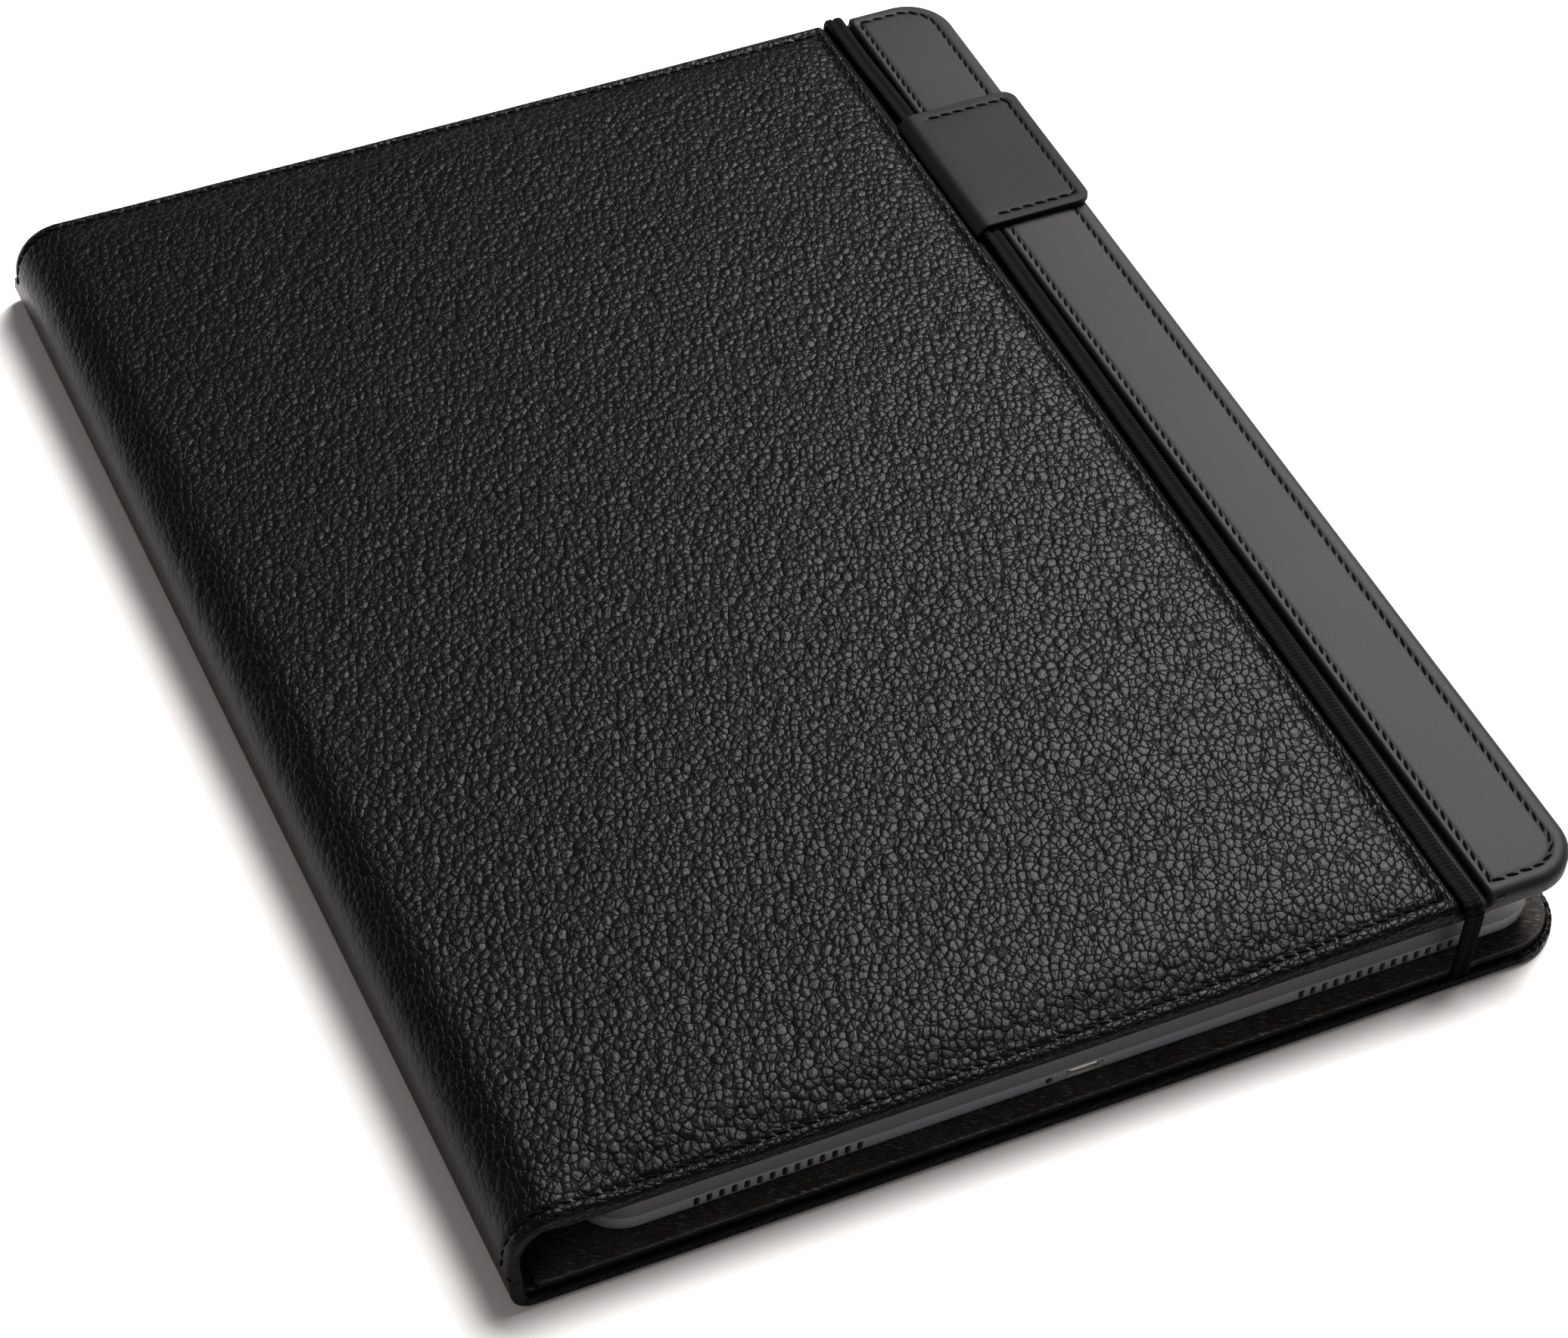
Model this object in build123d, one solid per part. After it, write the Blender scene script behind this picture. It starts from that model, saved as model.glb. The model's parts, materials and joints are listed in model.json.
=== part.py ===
from build123d import *
import math
import os

# Leather book-style tablet case, closed round a slim reader and held shut by an elastic strap.
# Millimetres. +X runs from the spine to the fore-edge, +Y from the reader's socket side to its
# top side, +Z up. The origin is on the surface the case lies on, under the reader's centre.

# --- driving dimensions -------------------------------------------------------------------
LEATHER = 1.2
LINING = 0.5
RIM = 1.3                    # leather turned up round a cover's open edges
FIT = 0.1                    # gap between loose inner pieces
CLEAR = 0.2                  # gap round a piece that passes through another

COVER_Y = 134.4              # half length of the front cover and the spine
COVER_FORE_X = 97.1
COVER_UNDER_Z = 14.7
TOP_Z = 19.3
COVER_CORNER_R = 10.0
COVER_TOP_R = 2.4
COVER_UNDER_R = 0.8
PANEL_END_X = 71.0           # the pebbled panel ends here, at the strap's groove
BAND_START_X = 77.0          # the smooth band starts here
GROOVE_Z = 17.2
FRONT_BOARD = 1.3

BACK_Y = 136.6               # half length of the back cover
BACK_FORE_X = 96.0
BACK_RIM_Z = 2.1             # a low roll of leather beside the lining
BACK_CORNER_R = 12.0
BACK_BOTTOM_R = 1.0
BACK_RIM_R = 0.5
BACK_BOARD = 1.7
BACK_STITCH_Y = 132.8        # the row along each end of the back lining

SPINE_X = -107.2             # outer face of the spine
UPPER_FOLD_R = 10.0
LOWER_FOLD_R = 4.0
STIFFENER = 1.0
STIFFENER_INSET = 2.0
SPINE_LINING_INSET = 0.4

STRAP_X = 73.8
STRAP_WIDTH = 3.6
STRAP_THICK = 1.4
STRAP_Z = 18.15              # underside of the run over the cover
STRAP_BEND_R = 0.75
STRAP_FOOT_Z = 2.15
RIB_LAP = 0.1                # how far the strap's two ribs run into each other
RIB_R = 0.6
STRAP_POCKET_Y = 120.0       # how far in the strap's ends reach under the lining
STRAP_POCKET_Z = 2.1         # floor of the strap's pocket in the back board
STRAP_SLIT_TOP_Z = 5.0       # clear of the lining

TAB_Y = 78.5
TAB_LENGTH = 38.0
TAB_END_X = 97.6
TAB_LEATHER = 0.7
TAB_CORNER_R = 3.0
TAB_FIT = 0.15               # between the tab's loop and the strap
TAB_STITCH_INSET = 2.6

TABLET_X = 91.5              # half width of the reader
TABLET_Y = 131.6             # half length of the reader
TABLET_Z = 3.9
SPLIT_Z = 7.6
FACE_Z = 14.1
TABLET_CORNER_R = 9.0
SHELL_WALL = 1.2
SHELL_EDGE_R = 1.4
BEZEL_WALL = 1.5
BEZEL_EDGE_R = 1.0
FACE_THICK = 1.4
SCREEN_X = (-79.0, 70.0)
SCREEN_Y = (-98.0, 104.0)
SCREEN_LAP = 3.0
SCREEN_THICK = 1.0
CARRIER_THICK = 1.1
CARRIER_X = -88.0
CARRIER_Y = 127.6

HOLE_PITCH = 2.3
HOLE_COUNT = 14
HOLE_START_X = 42.3
HOLE_SIZE = (1.1, 2.0)       # width and height of each upright speaker slot
HOLE_CORNER_R = 0.4
HOLE_Z = 6.05
PIN_HOLE_R = 0.7
SOCKET_WIDTH = 7.9
SOCKET_Z = (4.8, 7.2)
PIN_HOLE_X = -6.8

RAIL_X = (-101.5, -94.5)
RAIL_TOP_Z = 7.8
RAIL_Y = 104.0
RAIL_WALL = 0.8
HOOK_Y = 81.0                # middle of each hook's neck
HOOK_TRAVEL = 4.0
HOOK_Z = (5.6, 6.8)

STITCH_LENGTH = 2.5
STITCH_WIDTH = 0.5
STITCH_RISE = 0.25
STITCH_PITCH = 3.5
STITCH_INSET = 3.2
PANEL_STITCH_INSET = 2.4     # from the groove
BAND_STITCH_INSET = 1.7      # from the groove
FORE_STITCH_INSET = 3.6
ROW_END = 3.0                # a row along Y stops this far short of the corner

BACK_LINING_Z = LEATHER + BACK_BOARD
BACK_TOP_Z = BACK_LINING_Z + LINING
FRONT_BOARD_Z = COVER_UNDER_Z + LINING
PADDING_Z = FRONT_BOARD_Z + FRONT_BOARD
COVER_LEATHER_Z = TOP_Z - LEATHER
UPPER_FOLD_X = SPINE_X + UPPER_FOLD_R
UPPER_FOLD_Z = TOP_Z - UPPER_FOLD_R
LOWER_FOLD_X = SPINE_X + LOWER_FOLD_R
LOWER_FOLD_Z = LOWER_FOLD_R
SPINE_INNER_X = SPINE_X + LEATHER + STIFFENER + LINING
CUT = 1.0                    # how far a cutting solid runs past a face

os.makedirs("parts", exist_ok=True)
made = {}


def keep(name, shape):
    """Stores one sub-part; a list of solids becomes one group."""
    made[name] = Compound(children=list(shape)) if isinstance(shape, list) else shape


def box(x, y, z):
    """A box between three (low, high) pairs."""
    size = [high - low for low, high in (x, y, z)]
    middle = [(low + high) / 2 for low, high in (x, y, z)]
    return Pos(*middle) * Box(*size)


def sides(half):
    return (-half, half)


def fore_rounded(x, half_y, z, corner):
    """A plate whose two corners at its high-X end are rounded."""
    plate = box(x, sides(half_y), z)
    upright = [e for e in plate.edges().filter_by(Axis.Z) if e.center().X > x[1] - 0.01]
    return fillet(upright, corner) if corner > 0 else plate


def rounded(half_x, half_y, z, corner):
    """A plate with four rounded corners, centred on the origin."""
    plate = box(sides(half_x), sides(half_y), z)
    return fillet(plate.edges().filter_by(Axis.Z), corner)


def soften(solid, z, radius, min_x=-1000.0):
    """Rounds the outline edges of a plate that lie at height z, past min_x."""
    edges = [e for e in solid.edges() if abs(e.bounding_box().min.Z - z) < 0.01
             and abs(e.bounding_box().max.Z - z) < 0.01 and e.center().X > min_x]
    return fillet(edges, radius)


def along_y(profile, half):
    """Runs an X-Z profile from -half to +half along Y."""
    return Pos(0, half, 0) * extrude(Plane.XZ * profile, 2 * half)


def ring_quarter(centre_x, centre_z, outer, inner, start_deg):
    """A quarter ring in X-Z that starts at start_deg and runs counter-clockwise."""
    ring = Circle(outer) - Circle(inner)
    quarter = Rot(0, 0, start_deg) * Pos(outer / 2, outer / 2) * Rectangle(outer, outer)
    return Pos(centre_x, centre_z) * (ring & quarter)


def spread(low, high, pitch):
    """Evenly spaced middles between low and high, about pitch apart."""
    count = max(1, round((high - low) / pitch))
    step = (high - low) / count
    return [low + (i + 0.5) * step for i in range(count)]


def stitch(x, y, z, angle=0.0, rise=STITCH_RISE):
    """One thread stitch standing on a face at height z; rise below 0 hangs it under the face."""
    return Pos(x, y, z + rise / 2) * Rot(0, 0, angle) * Box(STITCH_LENGTH, STITCH_WIDTH, abs(rise))


def stitch_row_x(low, high, y, z, rise=STITCH_RISE):
    return [stitch(x, y, z, 0.0, rise) for x in spread(low, high, STITCH_PITCH)]


def stitch_row_y(low, high, x, z, rise=STITCH_RISE):
    return [stitch(x, y, z, 90.0, rise) for y in spread(low, high, STITCH_PITCH)]


def stitch_corner(x, y, radius, side, z, rise=STITCH_RISE):
    """Stitches round a quarter turn from the fore-edge row to an end row; side is +1 or -1."""
    middles = spread(0.0, math.pi / 2 * radius, STITCH_PITCH)
    turns = [s / radius for s in middles]
    return [stitch(x + radius * math.cos(t), y + side * radius * math.sin(t), z,
                   90 + side * math.degrees(t), rise) for t in turns]


def stitch_frame(start_x, fore_x, half_y, corner, z, rise=STITCH_RISE):
    """Stitches along both ends of a cover and round its fore-edge."""
    row = stitch_row_y(corner - half_y, half_y - corner, fore_x, z, rise)
    for side in (-1, 1):
        row += stitch_row_x(start_x, fore_x - corner, side * half_y, z, rise)
        row += stitch_corner(fore_x - corner, side * (half_y - corner), corner, side, z, rise)
    return row


# --- back cover ---------------------------------------------------------------------------
def strap_notch(y, z):
    """The slit that one strap end passes through, mirrored to both ends of the case."""
    half = STRAP_WIDTH / 2 + CLEAR
    x = (STRAP_X - half, STRAP_X + half)
    return [box(x, (y[0], y[1]), z), box(x, (-y[1], -y[0]), z)]


def back_cover():
    start = LOWER_FOLD_X
    slit_z = (STRAP_POCKET_Z, STRAP_SLIT_TOP_Z)
    skin = fore_rounded((start, BACK_FORE_X), BACK_Y, (0, BACK_RIM_Z), BACK_CORNER_R)
    skin = soften(skin, 0, BACK_BOTTOM_R, start + CUT)
    skin = soften(skin, BACK_RIM_Z, BACK_RIM_R, start + CUT)
    skin -= fore_rounded((start - CUT, BACK_FORE_X - RIM), BACK_Y - RIM,
                         (LEATHER, BACK_RIM_Z + CUT), BACK_CORNER_R - RIM)
    keep("back_outer_leather", skin)

    inner_x = BACK_FORE_X - RIM - FIT
    inner_y = BACK_Y - RIM - FIT
    inner_r = BACK_CORNER_R - RIM - FIT
    board = fore_rounded((start + LINING, inner_x), inner_y, (LEATHER, BACK_LINING_Z), inner_r)
    board -= strap_notch((STRAP_POCKET_Y - 2 * CLEAR, BACK_Y), slit_z)
    keep("back_board", board - rivet_holes(LEATHER, BACK_LINING_Z))

    lining = fore_rounded((start, inner_x), inner_y, (BACK_LINING_Z, BACK_TOP_Z), inner_r)
    lining += box((start, start + LINING), sides(inner_y), (LEATHER, BACK_LINING_Z))
    lining -= strap_notch((COVER_Y + CLEAR, BACK_Y), slit_z)
    keep("back_lining", lining - rivet_holes(LEATHER, BACK_TOP_Z))

    inset = BACK_Y - BACK_STITCH_Y
    keep("back_lining_stitches",
         stitch_frame(RAIL_X[1], BACK_FORE_X - inset, BACK_STITCH_Y, BACK_CORNER_R - inset, BACK_TOP_Z))

    end = STRAP_WIDTH / 2
    strap_x = (STRAP_X - end, STRAP_X + end)
    pocket = (STRAP_POCKET_Z, BACK_LINING_Z)
    leg_foot_y = COVER_Y + CLEAR + FIT
    keep("strap_sewn_ends", [box(strap_x, (STRAP_POCKET_Y, leg_foot_y), pocket),
                             box(strap_x, (-leg_foot_y, -STRAP_POCKET_Y), pocket)])


# --- hinge rail under the gutter ------------------------------------------------------------
RIVET_R = 1.2
RIVET_HEAD_R = 2.0
RIVET_HEAD = 0.6
RIVET_Y = (-98.0, -40.0, 40.0, 62.0)
RAIL_MID_X = (RAIL_X[0] + RAIL_X[1]) / 2
SPRING_R = 0.9
SPRING_WIRE = 0.2
SPRING_TURNS = 8
HOOK_BLOCK = 22.0            # length of the block that each hook stands on
HOOK_NECK = 6.0
HOOK_LIP = 3.0
HOOK_LIP_THICK = 1.4
RAIL_EDGE_R = 0.7
HOOK_PAD = (2.0, 8.0, 0.3)   # half width, half length and height of the fixed hook's foot


def rivet_holes(low, high):
    return [Pos(RAIL_MID_X, y, (low + high) / 2) * Cylinder(RIVET_R + FIT, high - low + 2 * FIT)
            for y in RIVET_Y]


def rail():
    body = box(RAIL_X, sides(RAIL_Y), (BACK_TOP_Z, RAIL_TOP_Z))
    top = [e for e in body.edges().filter_by(Axis.Y) if e.center().Z > RAIL_TOP_Z - 0.1]
    body = fillet(top, RAIL_EDGE_R)
    inner_x = (RAIL_X[0] + RAIL_WALL, RAIL_X[1] - RAIL_WALL)
    body -= box(inner_x, sides(RAIL_Y - RAIL_WALL), (BACK_TOP_Z + RAIL_WALL, RAIL_TOP_Z - RAIL_WALL))
    slot_x = (inner_x[1] - CLEAR, RAIL_X[1] + CUT)
    slot_z = (HOOK_Z[0] - CLEAR, RAIL_TOP_Z - RAIL_WALL)
    low = HOOK_Y - HOOK_NECK / 2 - 1.5 * CLEAR
    high = HOOK_Y + HOOK_NECK / 2 + 1.5 * CLEAR
    body -= box(slot_x, (low, high + HOOK_TRAVEL), slot_z)
    body -= box(slot_x, (-high, -low), slot_z)
    body -= [Pos(RAIL_MID_X, y, BACK_TOP_Z + RAIL_WALL / 2) * Cylinder(RIVET_R + FIT, RAIL_WALL + FIT)
             for y in RIVET_Y]
    keep("hinge_rail", body)

    rivets = []
    for y in RIVET_Y:
        foot = LEATHER
        head = BACK_TOP_Z + RAIL_WALL
        shank = Pos(RAIL_MID_X, y, (foot + head) / 2) * Cylinder(RIVET_R, head - foot)
        rivets.append(shank + Pos(RAIL_MID_X, y, head + RIVET_HEAD / 2) * Cylinder(RIVET_HEAD_R, RIVET_HEAD))
    keep("rail_rivets", rivets)


def hook(side):
    """A hook on its block; side is +1 for the upper one and -1 for the lower one."""
    block_x = (RAIL_X[0] + RAIL_WALL + CLEAR, RAIL_X[1] - RAIL_WALL - CLEAR)
    block_z = (BACK_TOP_Z + RAIL_WALL + CLEAR, HOOK_Z[1])
    half = HOOK_BLOCK / 2
    solid = box(block_x, (HOOK_Y - half, HOOK_Y + half), block_z)
    neck = (HOOK_Y - HOOK_NECK / 2, HOOK_Y + HOOK_NECK / 2)
    wall_inside = SHELL_WALL - TABLET_X + 1.5 * CLEAR
    solid += box((block_x[1], wall_inside), neck, HOOK_Z)
    solid += box((wall_inside, wall_inside + HOOK_LIP_THICK), (neck[0] - HOOK_LIP, neck[1]), HOOK_Z)
    return solid if side > 0 else mirror(solid, about=Plane.XZ)


def hooks():
    half_x, half_y, height = HOOK_PAD
    foot_z = BACK_TOP_Z + RAIL_WALL
    foot = box((RAIL_MID_X - half_x, RAIL_MID_X + half_x), (-HOOK_Y - half_y, -HOOK_Y + half_y),
               (foot_z, foot_z + height))
    keep("lower_hook", hook(-1) + foot)
    keep("upper_hook", hook(1))
    spring_start = HOOK_Y + HOOK_BLOCK / 2 + SPRING_WIRE
    spring_length = RAIL_Y - RAIL_WALL - SPRING_WIRE - spring_start
    path = Helix(spring_length / SPRING_TURNS, spring_length, SPRING_R)
    coil = sweep(Plane(path @ 0, z_dir=path % 0) * Circle(SPRING_WIRE), path)
    keep("hook_spring", Pos(RAIL_MID_X, spring_start, HOOK_Z[0]) * Rot(-90, 0, 0) * coil)


# --- spine ----------------------------------------------------------------------------------
def spine():
    flat = (LOWER_FOLD_Z, UPPER_FOLD_Z)
    leather_in = SPINE_X + LEATHER
    keep("spine_leather", box((SPINE_X, leather_in), sides(COVER_Y), flat))
    stiff = box((leather_in, leather_in + STIFFENER), sides(COVER_Y - STIFFENER_INSET),
                (flat[0] + 2 * CLEAR, flat[1] - 2 * CLEAR))
    keep("spine_stiffener", stiff)
    lining = box((leather_in, SPINE_INNER_X), sides(COVER_Y - SPINE_LINING_INSET), flat)
    keep("spine_lining", lining - stiff)

    folds = (("upper", UPPER_FOLD_X, UPPER_FOLD_Z, UPPER_FOLD_R, 90.0),
             ("lower", LOWER_FOLD_X, LOWER_FOLD_Z, LOWER_FOLD_R, 180.0))
    for name, x, z, outer, start in folds:
        skin_in = outer - LEATHER
        keep(name + "_fold_leather", along_y(ring_quarter(x, z, outer, skin_in, start), COVER_Y))
        lining_ring = ring_quarter(x, z, skin_in, skin_in - LINING, start)
        keep(name + "_fold_lining", along_y(lining_ring, COVER_Y - SPINE_LINING_INSET))

    y = COVER_Y - STITCH_INSET
    middle_z = (flat[0] + flat[1]) / 2
    upright = Box(STITCH_RISE, STITCH_WIDTH, STITCH_LENGTH)
    keep("spine_stitches", [Pos(SPINE_X - STITCH_RISE / 2, s * y, middle_z) * upright for s in (-1, 1)])
    arc = []
    for turn in spread(100.0, 172.0, math.degrees(STITCH_PITCH / UPPER_FOLD_R)):
        for s in (-1, 1):
            thread = Pos(UPPER_FOLD_R + STITCH_RISE / 2, 0, 0) * upright
            arc.append(Pos(UPPER_FOLD_X, s * y, UPPER_FOLD_Z) * Rot(0, -turn, 0) * thread)
    keep("upper_fold_stitches", arc)


# --- front cover ----------------------------------------------------------------------------
def front_cover():
    start = UPPER_FOLD_X
    inner_x = COVER_FORE_X - RIM
    inner_y = COVER_Y - RIM
    inner_r = COVER_CORNER_R - RIM
    wall = 1.0               # leather turned down at each side of the groove

    panel = box((start, PANEL_END_X), sides(COVER_Y), (COVER_UNDER_Z, TOP_Z))
    ends = [e for e in panel.edges().filter_by(Axis.X) if e.center().Z > TOP_Z - 0.1]
    panel = fillet(ends, COVER_TOP_R)
    panel -= box((start - CUT, PANEL_END_X + CUT), sides(inner_y), (COVER_UNDER_Z - CUT, PADDING_Z))
    panel -= box((start - CUT, PANEL_END_X - wall), sides(inner_y), (PADDING_Z, COVER_LEATHER_Z))
    keep("front_panel_leather", panel)

    band = fore_rounded((PANEL_END_X, COVER_FORE_X), COVER_Y, (COVER_UNDER_Z, TOP_Z), COVER_CORNER_R)
    band = soften(band, TOP_Z, COVER_TOP_R, PANEL_END_X + CUT)
    band = soften(band, COVER_UNDER_Z, COVER_UNDER_R, PANEL_END_X + CUT)
    band -= box((PANEL_END_X - CUT, BAND_START_X), sides(COVER_Y + CUT), (GROOVE_Z, TOP_Z + CUT))
    band -= fore_rounded((PANEL_END_X - CUT, inner_x), inner_y, (COVER_UNDER_Z - CUT, PADDING_Z), inner_r)
    fill = (BAND_START_X + wall, inner_x)
    band -= fore_rounded(fill, inner_y, (PADDING_Z, COVER_LEATHER_Z), inner_r)
    keep("front_band_leather", band)

    gap_y = inner_y - FIT
    lining = fore_rounded((start, inner_x - FIT), gap_y, (COVER_UNDER_Z, FRONT_BOARD_Z), inner_r - FIT)
    lining += box((start, start + LINING), sides(gap_y), (FRONT_BOARD_Z, COVER_LEATHER_Z))
    keep("front_lining", lining)
    keep("front_board", fore_rounded((start + LINING, inner_x - FIT), gap_y,
                                     (FRONT_BOARD_Z, PADDING_Z), inner_r - FIT))
    padding_z = (PADDING_Z, COVER_LEATHER_Z)
    keep("panel_padding", box((start + LINING, PANEL_END_X - wall - FIT), sides(gap_y), padding_z))
    keep("band_padding", fore_rounded((fill[0] + FIT, inner_x - FIT), gap_y, padding_z, inner_r - FIT))

    y = COVER_Y - STITCH_INSET
    panel_x = PANEL_END_X - PANEL_STITCH_INSET
    rows = stitch_row_y(ROW_END - y, y - ROW_END, panel_x, TOP_Z)
    for s in (-1, 1):
        rows += stitch_row_x(start + 1, panel_x, s * y, TOP_Z)
    keep("panel_stitches", rows)

    band_x = BAND_START_X + BAND_STITCH_INSET
    fore_x = COVER_FORE_X - FORE_STITCH_INSET
    corner = COVER_CORNER_R - FORE_STITCH_INSET
    rows = stitch_frame(band_x, fore_x, y, corner, TOP_Z)
    tab_low = TAB_Y - TAB_LENGTH / 2 - 1
    tab_high = TAB_Y + TAB_LENGTH / 2 + 1
    rows += stitch_row_y(ROW_END - y, tab_low, band_x, TOP_Z)
    rows += stitch_row_y(tab_high, y - ROW_END, band_x, TOP_Z)
    rows = [r for r in rows if not (tab_low < r.center().Y < tab_high and r.center().X > BAND_START_X)]
    keep("band_stitches", rows)
    keep("front_lining_stitches", stitch_frame(start + 2, fore_x, y, corner, COVER_UNDER_Z, -STITCH_RISE))


# --- strap and pull tab -----------------------------------------------------------------------
def strap_profile():
    """Two ribs side by side."""
    width = STRAP_WIDTH / 2 + RIB_LAP
    rib = RectangleRounded(width, STRAP_THICK, RIB_R)
    middle = (STRAP_WIDTH - width) / 2
    return Pos(-middle, 0) * rib + Pos(middle, 0) * rib


def strap():
    bend_y = COVER_Y - 2 * CLEAR
    middle_z = STRAP_Z + STRAP_THICK / 2
    run = Pos(STRAP_X, middle_z) * strap_profile()
    keep("strap_run", along_y(run, bend_y))
    radius = STRAP_BEND_R + STRAP_THICK / 2
    path = RadiusArc((0, 0), (radius, -radius), radius)
    path += Line((radius, -radius), (radius, STRAP_FOOT_Z - middle_z))
    path = Plane(origin=(STRAP_X, bend_y, middle_z), x_dir=(0, 1, 0), z_dir=(1, 0, 0)) * path
    section = Plane(origin=(STRAP_X, bend_y, middle_z), x_dir=(1, 0, 0), z_dir=(0, 1, 0))
    leg = sweep(section * strap_profile(), path)
    keep("strap_upper_leg", leg)
    keep("strap_lower_leg", mirror(leg, about=Plane.XZ))


def pull_tab():
    """One leather strip folded round the strap, its two layers sewn together over the band."""
    half = STRAP_WIDTH / 2 + TAB_FIT
    left = STRAP_X - half - TAB_LEATHER
    right = STRAP_X + half
    under = STRAP_Z - TAB_FIT - TAB_LEATHER
    over = STRAP_Z + STRAP_THICK + TAB_FIT + TAB_LEATHER
    flap_z = (TOP_Z + FIT, TOP_Z + FIT + 2 * TAB_LEATHER)
    bend = (over - under) / 2
    rise_x = BAND_START_X - FIT
    outer = Polyline((left + bend, under), (right, under), (rise_x, flap_z[0]),
                     (TAB_END_X, flap_z[0]), (TAB_END_X, flap_z[1]), (rise_x, flap_z[1]),
                     (right - CUT, over), (left + bend, over))
    outer += ThreePointArc((left + bend, over), (left, (under + over) / 2), (left + bend, under))
    loop = RectangleRounded(2 * half, STRAP_THICK + 2 * TAB_FIT, RIB_R + TAB_FIT / 2)
    slot = Pos(STRAP_X, STRAP_Z + STRAP_THICK / 2) * loop
    tab = Pos(0, TAB_Y, 0) * along_y(make_face(outer) - slot, TAB_LENGTH / 2)
    corners = [e for e in tab.edges().filter_by(Axis.Z) if e.center().X > TAB_END_X - 0.1]
    keep("pull_tab_leather", fillet(corners, TAB_CORNER_R))

    row_x = TAB_END_X - TAB_STITCH_INSET
    row_y = TAB_LENGTH / 2 - TAB_STITCH_INSET
    rows = stitch_row_y(TAB_Y - row_y + CUT, TAB_Y + row_y - CUT, row_x, flap_z[1])
    for s in (-1, 1):
        rows += stitch_row_x(rise_x + CUT, row_x, TAB_Y + s * row_y, flap_z[1])
    keep("pull_tab_stitches", rows)


# --- reader -----------------------------------------------------------------------------------
KEY_X = (76.0, 85.0)
KEYS = {"previous_page_key": (52.0, 72.0), "next_page_key": (12.0, 46.0),
        "home_key": (-10.0, 4.0), "menu_key": (-32.0, -18.0)}
KEY_PROUD = 0.25
KEY_FLANGE = 0.8
KEY_BASE_Z = 11.9
KEY_GAP = 0.25
KEY_CORNER_R = 1.0
SLIDER_X = 60.0
SLIDER_WIDTH = 8.0
SLIDER_TRAVEL = 2.5
SLIDER_Z = (5.6, 6.6)
SLIDER_PROUD = 0.4
SLIDER_GAP = 0.3
MOUTH_FIT = 0.6


def key_box(name, grow, z):
    y = KEYS[name]
    return box((KEY_X[0] - grow, KEY_X[1] + grow), (y[0] - grow, y[1] + grow), z)


def reader_shell():
    shell = rounded(TABLET_X, TABLET_Y, (TABLET_Z, SPLIT_Z), TABLET_CORNER_R)
    shell = soften(shell, TABLET_Z, SHELL_EDGE_R)
    inner_r = TABLET_CORNER_R - SHELL_WALL
    shell -= rounded(TABLET_X - SHELL_WALL, TABLET_Y - SHELL_WALL,
                     (TABLET_Z + SHELL_WALL, SPLIT_Z + CUT), inner_r)
    wall_y = SHELL_WALL / 2 - TABLET_Y
    across = [HOLE_START_X + i * HOLE_PITCH for i in range(HOLE_COUNT)]
    slot = Plane.XZ * RectangleRounded(*HOLE_SIZE, HOLE_CORNER_R)
    drill = Pos(0, SHELL_WALL / 2 + CUT, 0) * extrude(slot, SHELL_WALL + 2 * CUT)
    for x in across + [-x for x in across]:
        shell -= Pos(x, wall_y, HOLE_Z) * drill
    shell -= Pos(PIN_HOLE_X, wall_y, HOLE_Z) * Rot(90, 0, 0) * Cylinder(PIN_HOLE_R, SHELL_WALL + 2 * CUT)
    shell -= box(sides(SOCKET_WIDTH / 2), (-TABLET_Y - CUT, -TABLET_Y + SHELL_WALL + CUT), SOCKET_Z)
    mouth = (HOOK_Y - HOOK_NECK / 2 - HOOK_LIP - MOUTH_FIT, HOOK_Y + HOOK_NECK / 2 + MOUTH_FIT)
    mouth_x = (-TABLET_X - CUT, -TABLET_X + SHELL_WALL + CUT / 2)
    mouth_z = (HOOK_Z[0] - 1.5 * CLEAR, HOOK_Z[1] + 1.5 * CLEAR)
    shell -= box(mouth_x, (mouth[0], mouth[1] + HOOK_TRAVEL), mouth_z)
    shell -= box(mouth_x, (-mouth[1], -mouth[0]), mouth_z)
    slide_half = SLIDER_WIDTH / 2 + SLIDER_GAP
    slide_x = (SLIDER_X - slide_half, SLIDER_X + slide_half + SLIDER_TRAVEL)
    slide_z = (SLIDER_Z[0] - CLEAR, SLIDER_Z[1] + CLEAR)
    shell -= box(slide_x, (TABLET_Y - SHELL_WALL - CUT, TABLET_Y + CUT), slide_z)
    keep("reader_back_shell", shell)


def reader_bezel():
    bezel = rounded(TABLET_X, TABLET_Y, (SPLIT_Z, FACE_Z), TABLET_CORNER_R)
    bezel = soften(bezel, FACE_Z, BEZEL_EDGE_R)
    roof = FACE_Z - FACE_THICK
    bezel -= rounded(TABLET_X - BEZEL_WALL, TABLET_Y - BEZEL_WALL, (SPLIT_Z - CUT, roof),
                     TABLET_CORNER_R - BEZEL_WALL)
    bezel -= box(SCREEN_X, SCREEN_Y, (roof - CUT, FACE_Z + CUT))
    for name in KEYS:
        bezel -= key_box(name, KEY_GAP, (roof - CUT, FACE_Z + CUT))
    keep("reader_bezel", bezel)
    lap_x = (SCREEN_X[0] - SCREEN_LAP, SCREEN_X[1] + SCREEN_LAP)
    lap_y = (SCREEN_Y[0] - SCREEN_LAP, SCREEN_Y[1] + SCREEN_LAP)
    keep("reader_screen", box(lap_x, lap_y, (roof - SCREEN_THICK, roof)))
    carrier_z = (roof - SCREEN_THICK - CARRIER_THICK, roof - SCREEN_THICK)
    keep("screen_carrier", box((CARRIER_X, lap_x[1]), sides(CARRIER_Y), carrier_z))


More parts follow.
